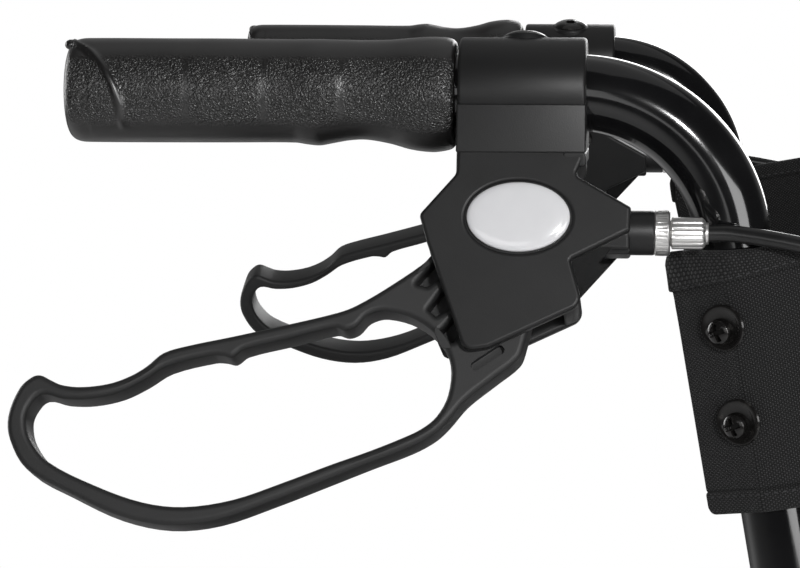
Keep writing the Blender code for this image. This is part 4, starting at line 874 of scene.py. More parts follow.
def grip_sleeve(flare_up=False):
    """The grip with its finger wave, flared front, closed end and spiral ridge; marks where it is pebbled.

    The two grips are one moulding: the left one sits turned over, its wave and flare upward.
    """
    stations = smooth([
        (-0.2045, 0.0018, 0.0018), (-0.2044, 0.0070, 0.0070), (-0.2040, 0.0120, 0.0120),
        (-0.2034, 0.0146, 0.0146), (-0.2022, 0.0162, 0.0162), (-0.2002, 0.0171, 0.0171),
        (-0.1970, 0.0174, 0.0174), (-0.1700, 0.0174, 0.0174), (-0.1500, 0.0174, 0.0173),
        (-0.1280, 0.0172, 0.0172), (-0.1235, 0.0173, 0.0178), (-0.1195, 0.0173, 0.0181),
        (-0.1155, 0.0172, 0.0174), (-0.1100, 0.0171, 0.0164), (-0.1040, 0.0170, 0.0161),
        (-0.0960, 0.0172, 0.0174), (-0.0890, 0.0178, 0.0193), (-0.0820, 0.0182, 0.0201),
        (-0.0775, 0.0180, 0.0196), (-0.0752, 0.0174, 0.0188), (-0.0742, 0.0164, 0.0177)], 6)
    dense = [stations[0]]
    for after in stations[1:]:
        gap = after.x - dense[-1].x
        pieces = max(1, ceil(gap / (0.0006 if after.x < -0.180 else 0.0012)))
        before = dense[-1]
        dense += [before.lerp(after, (k + 1) / pieces) for k in range(pieces)]
    rings, skin = [], []
    sides = 96
    for x, above, below in dense:
        middle, reach = (above - below) / 2, (above + below) / 2
        middle *= -1.0 if flare_up else 1.0
        ring = []
        for angle in full_turn(sides):
            out = angle if angle <= pi else angle - 2 * pi
            off = (x - grip_ridge_x(out)) / 0.0014
            fade = step_up(radians(140.0) - abs(out), 0.0, 0.35) * step_up(x, -0.2045, -0.2036)
            lift = 0.0011 * exp(-off ** 4) * fade
            if -0.195 < x < -0.076:
                lift += 0.00030 * sin(2 * pi * (x + 0.165) / 0.042) * abs(sin(angle)) ** 3
            r = reach + lift
            ring.append((DATUM_X + x, -HANDLE_HALF - r * sin(angle), HANDLE_HEIGHT + middle + r * cos(angle)))
            skin.append(pebbled(x, out))
        rings.append(ring)
    for x, r in ((-0.0740, 0.0150), (-0.0740, HANDLE_TUBE_R), (-0.0760, HANDLE_TUBE_R)):
        rings.append([(DATUM_X + x, -HANDLE_HALF - r * sin(a), HANDLE_HEIGHT + r * cos(a))
                      for a in full_turn(sides)])
    bead = shifted(ball(0.0020, (1.1, 1.3, 0.9)), Matrix.Translation(
        (DATUM_X - 0.2026, -HANDLE_HALF - 0.0045, HANDLE_HEIGHT + 0.0152)))
    sleeve = together(loft(rings, sharp=60.0), bead)
    mark = sleeve.attributes.new("pebbled", "FLOAT", "POINT")
    mark.data.foreach_set("value", skin + [0.0] * (len(sleeve.vertices) - len(skin)))
    return sleeve


def housing_outline():
    """The outline of the housing's cheeks, with the clamp's neck."""
    return rounded([
        (COLLAR_REAR_X, -0.0100, 0.0004), (-0.0727, -0.0314, 0.0030), (-0.0844, -0.0452, 0.0022),
        (-0.0819, -0.0539, 0.0040), (-0.0687, -0.0905, 0.0042), (-0.0609, -0.0891, 0.0020),
        (-0.0307, -0.0746, 0.0046), (-0.0350, -0.0598, 0.0012), (-0.0159, -0.0500, 0.0012),
        (-0.0156, -0.0422, 0.0012), (-0.0338, -0.0316, 0.0018), (COLLAR_FRONT_X, -0.0243, 0.0012),
        (COLLAR_FRONT_X, -0.0100, 0.0004)])


def badge_outline(share, grow=0.0):
    """The badge's oval, scaled and widened."""
    return [Vector((BADGE_CENTRE[0] + (BADGE_SIZE[0] * share + grow) * cos(a),
                    BADGE_CENTRE[1] + (BADGE_SIZE[1] * share + grow) * sin(a))) for a in full_turn(72)]


def housing_body():
    """The brake housing with its tube clamp: cheeks and the block between them, collar, band and boss."""
    seat = badge_outline(1.0, GAP * 2)
    front = plate(housing_outline(), SLOT_HALF, HOUSING_HALF, 0.0011, [seat])
    seat_floor = plate(badge_outline(1.0, 0.001), SLOT_HALF, HOUSING_HALF - 0.0008, 0.0002)
    back = plate(housing_outline(), -HOUSING_HALF, -SLOT_HALF, 0.0011)
    block = plate(rounded([
        (-0.0728, -0.0100, 0.0004), (-0.0725, -0.0218, 0.0004), (-0.0348, -0.0218, 0.0010),
        (-0.0348, -0.0702, 0.0010), (-0.0376, -0.0776, 0.0006), (-0.0307, -0.0746, 0.0046),
        (-0.0350, -0.0598, 0.0012), (-0.0159, -0.0500, 0.0012), (-0.0156, -0.0422, 0.0012),
        (-0.0338, -0.0316, 0.0018), (COLLAR_FRONT_X, -0.0243, 0.0012), (COLLAR_FRONT_X, -0.0100, 0.0004)]),
        -SLOT_HALF - 0.0015, SLOT_HALF + 0.0015, 0.0003)
    collar = shifted(rod(COLLAR_R, COLLAR_REAR_X, COLLAR_FRONT_X, 0.0012, 72), ALONG_HANDLE)
    taper = [(-BAND_HALF, -0.0192, 0.0006), (BAND_HALF, -0.0192, 0.0006), (0.0184, -0.0034, 0.0004),
             (-0.0184, -0.0034, 0.0004)]
    band = shifted(plate(rounded(taper), COLLAR_REAR_X - 0.0002, COLLAR_FRONT_X + 0.0002, 0.0007),
                   ALONG_HANDLE)
    lug = box((COLLAR_FRONT_X - 0.0072, -0.0236, -BAND_HALF), (COLLAR_FRONT_X + 0.0002, -0.0188, BAND_HALF),
              0.0010, 0.0006)
    lip = box((COLLAR_REAR_X + 0.0006, -0.0028, -0.0179), (COLLAR_FRONT_X - 0.0006, 0.0010, 0.0179), 0.0003,
              0.0004)
    screw_seat = shifted(rod(CLAMP_SCREW_R + 0.0008, 0.006, 0.0184, 0.0008),
                         facing((0, 1, 0), (CLAMP_SCREW_X, 0, 0)))
    boss = shifted(rod(BOSS_R, -0.040, BOSS_END_X, 0.0009), CABLE_IN_BRAKE @ ALONG_HANDLE)
    boss_root = shifted(box((-0.0150, -0.0072, -0.0072), (0.0, 0.0072, 0.0072), 0.0012, 0.0012),
                        CABLE_IN_BRAKE @ Matrix.Translation((-0.0158, 0.0, 0.0)))
    clamp = [shifted(shape, COLLAR_IN_BRAKE) for shape in (collar, band, lug, lip)]
    return shifted(together(front, seat_floor, back, block, boss, boss_root, screw_seat, *clamp), BRAKE)


def badge_dome():
    """The bare badge, domed."""
    low = HOUSING_HALF - 0.0005
    rings = [[(p.x, p.y, low + rise) for p in badge_outline(share)] for rise, share in (
        (0.0, 0.999), (0.0007, 1.0), (0.0010, 0.990), (0.00135, 0.965), (0.0017, 0.91), (0.0020, 0.82),
        (0.0022, 0.68), (0.00235, 0.50), (0.00245, 0.28), (0.0025, 0.08))]
    return shifted(loft(rings, sharp=75.0), BRAKE)


# Outlines of the lever in the brake's own plane, in millimetres: along the handle, and down from it
LEVER_OUTSIDE = (
    (-46.2, 22.7), (-55.2, 29.0), (-62.3, 39.0), (-80.8, 58.3), (-93.1, 67.5), (-104.4, 74.5), (-110.6, 77.0),
    (-127.5, 81.3), (-145.4, 85.5), (-159.0, 88.5), (-167.3, 91.1), (-172.6, 95.6), (-177.9, 98.9),
    (-184.8, 101.5), (-193.8, 102.7), (-200.4, 102.1), (-204.0, 100.6), (-207.5, 99.0), (-210.3, 99.6),
    (-214.3, 103.5), (-217.5, 112.7), (-216.6, 120.3), (-210.6, 130.0), (-196.7, 137.5), (-180.0, 144.8),
    (-163.7, 147.8), (-147.6, 145.9), (-129.5, 139.3), (-112.3, 132.2), (-98.7, 126.5), (-85.4, 121.1),
    (-78.3, 117.0), (-73.8, 112.7), (-68.0, 105.6), (-58.8, 98.0), (-51.3, 91.7), (-49.4, 86.8),
    (-44.4, 66.0), (-36.7, 39.0), (-38.6, 26.5))
LEVER_OPENING = (
    (-206.7, 105.5), (-210.4, 109.4), (-211.5, 113.7), (-209.8, 120.3), (-203.7, 127.5), (-188.0, 135.1),
    (-172.1, 140.4), (-158.5, 141.7), (-142.5, 139.1), (-126.3, 133.2), (-110.7, 127.0), (-99.7, 122.9),
    (-88.9, 118.4), (-82.3, 115.1), (-77.4, 110.9), (-73.9, 103.9), (-73.3, 94.1), (-77.1, 85.6),
    (-84.9, 79.2), (-95.0, 76.4), (-100.6, 77.9), (-104.2, 81.7), (-107.7, 83.0), (-111.5, 82.1),
    (-126.5, 86.0), (-140.8, 89.7), (-144.5, 92.4), (-147.7, 91.9), (-151.5, 91.8), (-165.8, 95.6),
    (-173.5, 100.5), (-181.4, 104.5), (-190.9, 106.7), (-199.5, 106.8))
LEVER_WINDOWS = (
    ((-77.8, 57.9), (-81.7, 62.5), (-85.4, 67.3), (-81.6, 68.1), (-78.1, 65.6), (-75.9, 61.0)),
    ((-74.1, 66.6), (-78.0, 71.4), (-81.1, 75.7), (-78.5, 78.0), (-75.4, 76.2), (-71.9, 70.8)),
    ((-71.0, 75.7), (-74.2, 80.1), (-76.9, 82.9), (-75.1, 86.9), (-72.3, 86.4), (-69.0, 80.1)))


def lever_loop():
    """The closed brake lever: a bar with rounded edges, three windows and a pocket at its root."""
    outside = smooth([Vector((x / 1000, -q / 1000)) for x, q in LEVER_OUTSIDE], 4, True)
    opening = smooth([Vector((x / 1000, -q / 1000)) for x, q in LEVER_OPENING], 4, True)
    windows = [rounded([(x / 1000, -q / 1000, 0.0005) for x, q in window], 30.0)
               for window in LEVER_WINDOWS]
    body = plate(outside, -LEVER_HALF, LEVER_HALF, 0.0018, [opening, *windows], 5)
    floors = plate(rounded([(-0.0870, -0.0640, 0.002), (-0.0750, -0.0890, 0.002), (-0.0560, -0.0860, 0.002),
                            (-0.0560, -0.0540, 0.002), (-0.0720, -0.0530, 0.002)]), -0.0046, 0.0000, 0.0003)
    slot = Vector((-0.0613, -0.0917, 0.0))
    ahead = Vector((0.82, 0.57, 0.0)).normalized()
    side = Vector((-ahead.y, ahead.x, 0.0))
    corners = ((-0.0062, -0.0016), (0.0062, -0.0016), (0.0062, 0.0016), (-0.0062, 0.0016))
    rim = [slot + ahead * a + side * b for a, b in corners]
    pocket = plate(rounded([(p.x, p.y, 0.0015) for p in rim]), LEVER_HALF - 0.0030, LEVER_HALF + 0.0020,
                   0.0002)
    return together(cut(body, pocket), floors)


def lever_in_place(droop=0.0):
    """The brake's frame, with the lever turned about its pin."""
    turn = Matrix.Rotation(droop, 4, "Z")
    return BRAKE @ (Matrix.Translation(LEVER_PIVOT) @ turn @ Matrix.Translation(-LEVER_PIVOT))


def pivot_pin():
    """The lever's pin, its head on the inner face of the housing."""
    head = -HOUSING_HALF - GAP
    pin = turned([(head - 0.0018, 0.0012), (head - 0.0018, 0.0038), (head - 0.0012, 0.0047), (head, 0.0050),
                  (head, 0.0030), (0.0100, 0.0030)], 32)
    return shifted(pin, BRAKE @ Matrix.Translation(LEVER_PIVOT))


def ring_nut():
    """The cable's lock ring, with two chamfers and fine knurling."""
    low = BOSS_END_X - 0.0003
    high = BOSS_END_X + GAP + LOCK_RING_LENGTH
    r = LOCK_RING_R
    def knurl(angle, z):
        return 1.0 - 0.018 * max(0.0, cos(30 * angle)) if low + 0.0012 < z < high - 0.0009 else 1.0
    profile = [(low, 0.0033), (low, r - 0.0005), (low + 0.0005, r), (low + 0.0011, r), (low + 0.0013, r),
               (high - 0.0010, r), (high - 0.0008, r), (high - 0.0005, r), (high, r - 0.0006), (high, 0.0033)]
    return shifted(turned(profile, 240, True, knurl), CABLE_AXIS @ ALONG_HANDLE)


def barrel():
    """The barrel adjuster: plain shank, fluted head with its cable slot, and a plain tip."""
    head_end = BARREL_X + 0.0112
    slot_turn = radians(62.0)
    def flutes(angle, z):
        if not BARREL_X + 0.0004 < z < head_end - 0.0002:
            return 1.0
        off = abs((angle - slot_turn + pi) % (2 * pi) - pi)
        if z > BARREL_X + 0.0012 and off < 0.11:
            return 0.58
        return 1.0 - 0.060 * max(0.0, cos(14 * angle)) ** 2
    profile = [(-0.0280, 0.0029), (BARREL_X - 0.001, 0.0029), (BARREL_X, BARREL_R - 0.0008),
               (BARREL_X + 0.0003, BARREL_R - 0.0001), (BARREL_X + 0.0006, BARREL_R),
               (BARREL_X + 0.0011, BARREL_R), (BARREL_X + 0.0013, BARREL_R), (head_end - 0.0014, BARREL_R),
               (head_end - 0.0009, BARREL_R - 0.0002), (head_end - 0.0003, BARREL_R - 0.0008),
               (head_end, BARREL_R - 0.0013), (head_end + 0.0001, 0.0036), (BARREL_END_X - 0.0002, 0.0036),
               (BARREL_END_X, 0.0034), (BARREL_END_X, 0.0029)]
    return shifted(turned(profile, 168, False, flutes), CABLE_AXIS @ ALONG_HANDLE)


def hexagon(radius):
    """A hexagon with a corner on X."""
    return [Vector((radius * cos(pi / 3 * i), radius * sin(pi / 3 * i))) for i in range(6)]


def hex_recess(radius, low, high):
    """A hexagonal plug, to be cut out of a screw's head."""
    return plate(hexagon(radius), low, high, 0.00005)


def clamp_screw():
    """The low domed head of the collar's clamp screw, with a hexagon recess."""
    seat = 0.0180
    r = CLAMP_SCREW_R
    head = turned([(0.0152, 0.0018), (seat - 0.0008, r - 0.0006), (seat, r - 0.0001), (seat + 0.0005, r),
                   (seat + 0.0010, r - 0.0005), (seat + 0.0017, r * 0.76), (seat + 0.0021, r * 0.52),
                   (seat + 0.0023, r * 0.2)], 56)
    head = cut(head, hex_recess(0.0025, seat + 0.0002, seat + 0.006))
    return shifted(head, BRAKE @ facing((0, 1, 0), (CLAMP_SCREW_X, 0, 0)))


def pan_head(low, radius, rise):
    """A domed screw head with a cross recess sunk in its face."""
    reach, arm, depth = 0.64 * radius, 0.15 * radius, 0.75 * rise
    def sunk(x, y):
        along = [abs(x * cos(t) + y * sin(t)) for t in (0.35, 0.35 + pi / 2)]
        arms = [(1.0 - step_up(a, reach, reach + 0.0003)) * (1.0 - step_up(b, arm, arm + 0.0002))
                for a, b in (along, along[::-1])]
        return depth * max(arms)
    rings = []
    turns = full_turn(96)
    for r, z in ((radius * 0.9, 0.0), (radius, 0.10 * rise), (radius, 0.28 * rise),
                 (radius * 0.97, 0.46 * rise)):
        rings.append([(r * cos(a), r * sin(a), low + z) for a in turns])
    for k in range(23):
        share = 0.94 * (1.0 - k / 23.5)
        ring = []
        for a in turns:
            x, y = share * radius * cos(a), share * radius * sin(a)
            ring.append((x, y, low + rise * (1.0 - 0.46 * share ** 3) - sunk(x, y)))
        rings.append(ring)
    return loft(rings, sharp=50.0)


def strap_screw(place):
    """A pan-head screw with a cross recess, low in a dished washer."""
    seat = STRAP_FACE + GAP
    aside = Matrix.Translation((0.0012, 0.0013, 0.0))
    def egg(angle, z):
        return 1.0 + 0.07 * cos(angle - 0.9) ** 3 + 0.03 * cos(2 * angle)
    washer = turned([(seat, 0.0024), (seat, 0.0072), (seat + 0.0003, 0.0077), (seat + 0.0009, 0.0080),
                     (seat + 0.0014, 0.0077), (seat + 0.0015, 0.0071), (seat + 0.0010, 0.0060),
                     (seat + 0.0005, 0.0048), (seat + 0.0003, 0.0030)], 64, False, egg)
    shank = rod(0.0021, 0.0090, seat + 0.0010, 0.0002, 24)
    outward = FORWARD * SCREW_OUT.x + ACROSS * SCREW_OUT.y
    return shifted(together(shifted(washer, aside), shank, pan_head(seat + 0.0003, 0.0042, 0.0026)),
                   facing(outward, along_upright(place, -HANDLE_HALF)))


# Back strap

def strap_line():
    """The strap's middle line in the plane square to the uprights, from right to left."""
    hug = HANDLE_TUBE_R + GAP + STRAP_THICKNESS / 2
    seat = SCREW_OUT * hug - ACROSS * HANDLE_HALF
    flap = Vector((SCREW_OUT.y, -SCREW_OUT.x, 0.0)) * STRAP_FLAP
    half = [seat + flap, seat, seat - flap * 0.3]
    half += [Vector((forward, out - HANDLE_HALF, 0.0)) for forward, out in (
        (0.012, -0.0162), (0.032, -0.0160), (0.060, -0.0140), (0.090, -0.0030), (0.112, 0.0190),
        (STRAP_DEPTH - 0.003, 0.055), (STRAP_DEPTH, 0.130))]
    other = [Vector((p.x, -p.y, 0.0)) for p in reversed(half)]
    return smooth(half + [Vector((STRAP_DEPTH, 0.0, 0.0))] + other, 14)


STRAP_PLACE = upright_frame(STRAP_CENTRE, 0.0)
STRAP_HEM = {"top": 0.0118, "bottom": 0.0078}


def levels(low, high, count):
    """Equal steps from low up to high, without high itself."""
    return [low + (high - low) * k / count for k in range(count)]


def hem_height(end):
    """The top hem is widest at the strap's ends, where its cloth is gathered."""
    return STRAP_HEM["top"] - 0.0045 * min(1.0, end / 0.045)


def strap_rows(end):
    """Heights up the strap with its half thickness there: thick hems, each drawn in along its seam."""
    high = STRAP_HEIGHT / 2
    low_seam = STRAP_HEM["bottom"] - high
    top_seam = high - hem_height(end)
    near_seam = (-0.0011, -0.0006, -0.0003, 0.0, 0.0003, 0.0007)
    heights = [-high, 0.0004 - high, 0.0009 - high]
    heights += levels(0.0016 - high, low_seam - 0.0011, 4)
    heights += [low_seam + off for off in near_seam]
    heights += levels(low_seam + 0.0012, top_seam - 0.0011, 24)
    heights += [top_seam + off for off in near_seam]
    heights += levels(top_seam + 0.0012, high - 0.0016, 7)
    heights += [high - 0.0016, high - 0.0009, high - 0.0004, high]
    rows = []
    for z in heights:
        hem = max(step_up(z - top_seam, -0.0001, 0.0004) * 0.9,
                  step_up(low_seam - z, -0.0001, 0.0004) * 0.6)
        thick = 0.0013 + 0.0010 * hem
        for seam in (top_seam, low_seam):
            thick -= 0.0006 * exp(-((z - seam) / 0.0004) ** 2)
        edge = high - abs(z)
        if edge < 0.0016:
            thick *= sqrt(max(0.02, 1.0 - (1.0 - edge / 0.0016) ** 2))
        rows.append((z, thick))
    return rows


def strap_panel():
    """The back strap, hemmed top and bottom, drawn in where it is screwed and puckered at its corners."""
    path = strap_line()
    ahead = tangents(path)
    distances = lengths(path)
    total = distances[-1]
    high = STRAP_HEIGHT / 2
    rings = []
    for point, way, run in zip(path, ahead, distances):
        out = Vector((way.y, -way.x, 0.0))
        end = min(run, total - run)
        close = exp(-(end / 0.024) ** 2)
        outward = way * (-1.0 if run < total / 2 else 1.0) * max(0.0, 1.0 - end / 0.006)
        front, back = [], []
        for z, thick in strap_rows(end):
            top = max(0.0, (z - high + 0.020) / 0.020)
            hem = 0.0011 * step_up(z, high - hem_height(end) - 0.0002, high - hem_height(end) + 0.0002)
            beyond = hem - 0.0024 * max(0.0, (z - high + 0.0045) / 0.0045) ** 1.5
            beyond -= 0.0016 * max(0.0, (-z - high + 0.0030) / 0.0030) ** 1.5
            pucker = 0.0006 * top * close * sin(run * 900.0 + z * 300.0)
            slack = 0.0016 * sin(pi * run / total) ** 2 * sin(14 * pi * run / total) * (z / high)
            hollow = 0.0
            for place in STRAP_SCREWS.values():
                off = hypot(end - STRAP_FLAP, z - (STRAP_CENTRE - place))
                hollow -= 0.0005 * exp(-(off / 0.010) ** 2)
            lift = pucker + slack * 0.5 + hollow
            height = z + 0.0030 * close * step_up(z, high - 0.018, high - 0.004)
            spot = point + outward * beyond + Vector((0.0, 0.0, height))
            front.append(spot + out * (thick + lift))
            back.append(spot + out * (lift - thick))
        rings.append(front + back[::-1])
    return shifted(loft(rings, sharp=70.0), STRAP_PLACE)


def strap_stitches():
    """Lock stitches along both hems, on both faces."""
    path = strap_line()
    ahead = tangents(path)
    unit = ball(0.00034, (1.0, 1.0, 3.6), 6)
    meshes = []
    high = STRAP_HEIGHT / 2
    distances = lengths(path)
    for top in (True, False):
        for face in (1.0, -1.0):
            line = []
            for point, way, run in zip(path, ahead, distances):
                out = Vector((way.y, -way.x, 0.0)) * face
                end = min(run, distances[-1] - run)
                height = high - hem_height(end) + 0.0018 if top else STRAP_HEM["bottom"] - high - 0.0016
                spot = point + out * (0.0021 if top else 0.0018) + Vector((0.0, 0.0, height))
                line.append(STRAP_PLACE @ spot)
            meshes.append(along_line(unit, line[2:-2], 0.0030, THREAD))
    return together(*meshes)


# Cables

def upper_route():
    """The upper cable's line, from the barrel adjuster down to the guide."""
    start = CABLE_AXIS @ Vector((BARREL_END_X - 0.002, 0.0, 0.0))
    guide = guide_frame() @ Vector((0.0, 0.0, GUIDE_LENGTH / 2 - 0.002))
    x, y, z = CABLE_AXIS @ Vector((BARREL_END_X + GAP, 0.0, 0.0))
    loop = [(0.008, -0.0008, 0.0), (0.030, -0.0064, -0.0032), (0.055, -0.0106, -0.0095),
            (0.078, -0.0122, -0.0250), (0.092, -0.0116, -0.0500), (0.096, -0.0096, -0.0850),
            (0.090, -0.0076, -0.1250), (0.075, -0.0061, -0.1650), (0.055, -0.0046, -0.1950)]
    near = [guide - UPRIGHT * 0.024, guide - UPRIGHT * 0.008, guide]
    return [start] + [Vector((x + dx, y + dy, z + dz)) for dx, dy, dz in loop] + near


def guide_frame():
    """The cable guide's place, behind and outside the right frame tube."""
    distance = (BEND_END.z - GUIDE_Z) / cos(LEAN)
    reach = (FRAME_TUBE_R + GUIDE_R - 0.0012) / sqrt(2)
    return upright_frame(distance) @ Matrix.Translation((-reach, -reach, 0.0))


def lower_route():
    """The lower cable's line, from the guide along the rear rail to the brake arm."""
    guide = guide_frame() @ Vector((0.0, 0.0, -GUIDE_LENGTH / 2 + 0.002))
    corner = Vector((RAIL_CORNER_X, 0.0, RAIL_Z))
    rail = filleted([Vector((0.060, 0.0, RAIL_Z)), corner, Vector((BRAKE_PIN.x, 0.0, BRAKE_PIN.z))],
                    RAIL_BEND_R, 4)
    ear = Vector((BRAKE_PIN.x + BRAKE_EAR, 0.0, BRAKE_PIN.z + 0.0093))
    aside = -CABLE_RUN_HALF
    along = [Vector((p.x, aside, p.z)) for p in rail[:-1]]
    leg = (rail[-1] - rail[-2]).normalized()
    along.append(Vector((rail[-2].x + leg.x * 0.070, aside, rail[-2].z + leg.z * 0.070)))
    down = [Vector((ear.x - 0.002, aside, ear.z + 0.045)), Vector((ear.x, aside, ear.z + 0.015)),
            Vector((ear.x, aside, ear.z))]
    behind = [Vector((PIVOT.x - 0.039, aside - 0.0113, RAIL_Z + 0.042)),
              Vector((PIVOT.x - 0.064, aside - 0.0018, RAIL_Z + 0.013))]
    return [guide, guide + UPRIGHT * 0.010, guide + UPRIGHT * 0.024] + behind + along + down


# Frame

def saddle(centre, direction, radius, other_radius, other_way):
    """The line where a tube along a direction runs into a round tube along other_way through the centre."""
    direction = direction.normalized()
    way = other_way.normalized()
    side = direction.cross(way).normalized()
    up = side.cross(direction).normalized()
    lean = direction.dot(way)
    reach = radius + 0.0004
    line = []
    for a in full_turn(60):
        offset = side * reach * cos(a) + up * reach * sin(a)
        slide = max(0.0, other_radius ** 2 - (reach * cos(a)) ** 2)
        along = sqrt(slide)
        if abs(lean) > 0.02:
            along = (along + offset.dot(way) * lean) / sqrt(1 - lean * lean)
        line.append(centre + offset + direction * along)
    return line


def weld(line):
    """A bead of overlapping ripples along a closed line."""
    ripple = ball(0.0021, (1.0, 0.85, 0.62), 8)
    return along_line(ripple, line, 0.0018, GLOSS, True)


def front_welds():
    """Beads round the ends of the cross tubes and the feet, and along the cable guides."""
    beads = []
    for z in (UPPER_CROSS_Z, LOWER_CROSS_Z):
        centre = Vector((upright_x(z), -HANDLE_HALF, z))
        beads.append(weld(saddle(centre, ACROSS, CROSS_TUBE_R, FRAME_TUBE_R, UPRIGHT)))
    foot_way = Vector((CORNER_X, 0.0, FRAME_CORNER_Z)) - Vector((STEM_X, 0.0, FOOT_Z))
    head = Vector((STEM_X, -HANDLE_HALF, FOOT_Z))
    beads.append(weld(saddle(head, foot_way.normalized(), FRAME_TUBE_R, HEAD_TUBE_R, UP)))
    guide = guide_frame()
    for side in (-1.0, 1.0):
        run = [guide @ Vector((0.0035 * side + 0.0028, -0.0035 * side + 0.0028, z / 1000))
               for z in range(-10, 11, 2)]
        beads.append(along_line(ball(0.0011, (1.0, 1.0, 0.7), 8), run, 0.0014, GLOSS))
    return together(*both_sides(*beads))


def front_tubes():
    """The front frame's tubes, head tubes and cable guides."""
    corner = Vector((CORNER_X, 0.0, FRAME_CORNER_Z))
    foot = Vector((STEM_X, 0.0, FOOT_Z))
    main = shifted(tube(filleted([along_upright(FRAME_TOP), corner, foot], FRAME_BEND_R), FRAME_TUBE_R, 48),
                   RIGHT_SIDE)
    low = CROWN_TOP_Z + GAP
    high = low + HEAD_TUBE_LENGTH
    r = HEAD_TUBE_R
    head = turned([(low, r - 0.0022), (low, r - 0.0008), (low + 0.0008, r), (low + 0.0052, r),
                   (low + 0.0060, r - 0.0006), (high - 0.0100, r - 0.0006), (high - 0.0092, r),
                   (high - 0.0010, r), (high, r - 0.0010), (high, 0.004)], 56)
    head = shifted(head, RIGHT_SIDE @ Matrix.Translation((STEM_X, 0, 0)))
    guide = shifted(rod(GUIDE_R, -GUIDE_LENGTH / 2, GUIDE_LENGTH / 2, 0.0008, 32), guide_frame())
    crosses = [crosswise(rod(CROSS_TUBE_R, -HANDLE_HALF, HANDLE_HALF, 0.0, 48), (upright_x(z), 0.0, z))
               for z in (UPPER_CROSS_Z, LOWER_CROSS_Z)]
    return together(*both_sides(main, head, guide), *crosses)


def head_cap():
    """The bearing cap on top of a head tube."""
    high = CROWN_TOP_Z + GAP + HEAD_TUBE_LENGTH
    r = HEAD_TUBE_R
    cap = turned([(high - 0.003, r - 0.003), (high + 0.0002, r - 0.0030), (high + 0.0004, r - 0.0008),
                  (high + 0.0020, r - 0.0010), (high + 0.0042, r - 0.0040), (high + 0.0052, r - 0.0090),
                  (high + 0.0056, 0.002)], 48)
    return shifted(cap, RIGHT_SIDE @ Matrix.Translation((STEM_X, 0, 0)))


def clamp_collar():
    """The plastic height collar with its knob boss, two shallow grooves and a slit."""
    high = 0.010
    low = high - 0.050
    r = HEIGHT_COLLAR_R
    slim = HANDLE_TUBE_R + 0.0004
    wide = FRAME_TUBE_R + GAP
    ring = turned([(low, wide), (low, r - 0.0022), (low + 0.0010, r - 0.0010), (low + 0.0025, r - 0.0002),
                   (low + 0.0075, r), (low + 0.0083, r - 0.0009), (low + 0.0117, r - 0.0009),
                   (low + 0.0125, r), (high - 0.0115, r), (high - 0.0107, r - 0.0009),
                   (high - 0.0075, r - 0.0009), (high - 0.0067, r), (high - 0.0035, r),
                   (high - 0.0015, r - 0.0010), (high, r - 0.0030), (high, slim), (GAP, slim), (GAP, wide)],
                   64, True)
    outward = facing((0, -1, 0), (0, 0, -KNOB_DROP))
    boss = shifted(rod(0.0098, FRAME_TUBE_R + 0.002, KNOB_SEAT, 0.0010), outward)
    slit = box((-0.0215, -0.0010, low + 0.002), (-0.0180, 0.0010, high - 0.004), 0.0001, 0.0001)
    return shifted(together(cut(ring, slit), boss), upright_frame(FRAME_TOP))


def clamp_knob():
    """A three-lobed knob with a recessed face, on its stud."""
    low = KNOB_SEAT + GAP
    rings = []
    profile = [(0.0, 0.42), (0.0, 0.60), (0.0006, 0.64), (0.0030, 0.90), (0.0050, 0.985), (0.0070, 1.0),
               (0.0120, 1.0), (0.0145, 0.965), (KNOB_LENGTH, 0.88), (KNOB_LENGTH, 0.80),
               (KNOB_LENGTH - 0.0012, 0.74), (KNOB_LENGTH - 0.0014, 0.30), (KNOB_LENGTH - 0.0006, 0.24),
               (KNOB_LENGTH - 0.0006, 0.05)]
    for rise, share in profile:
        ring = []
        for angle in full_turn(120):
            lobe = 0.84 + 0.16 * cos(3 * angle)
            blend = min(1.0, max(0.0, (share - 0.35) / 0.5))
            reach = KNOB_R * share * (lobe * blend + 0.80 * (1 - blend))
            ring.append((reach * cos(angle), reach * sin(angle), low + rise))
        rings.append(ring)
    stud = rod(0.004, HANDLE_TUBE_R + GAP, low + 0.004, 0.0004, 24)
    axis = along_upright(FRAME_TOP + KNOB_DROP, -HANDLE_HALF)
    return shifted(together(loft(rings), stud), Matrix.Translation(axis) @ SIDE_VIEW)


def fold_bolt():
    """The fold's pivot bolt: round head with a hexagon recess outside, nut inside."""
    outside = HANDLE_HALF + FRAME_TUBE_R + GAP
    inside = REAR_HUB_INSIDE - GAP
    nut = plate(hexagon(0.0068), inside - 0.0062, inside, 0.0004)
    r = 0.009
    shank = turned([(inside - 0.003, 0.004), (outside, 0.004), (outside, r), (outside + 0.0009, r),
                    (outside + 0.0013, r - 0.0004), (outside + 0.0015, 0.0074), (outside + 0.0022, 0.0072),
                    (outside + 0.0036, 0.0060), (outside + 0.0045, 0.0040), (outside + 0.0048, 0.0008)], 48)
    shank = cut(shank, hex_recess(0.0026, outside + 0.0016, outside + 0.010))
    return crosswise(together(shank, nut), PIVOT)


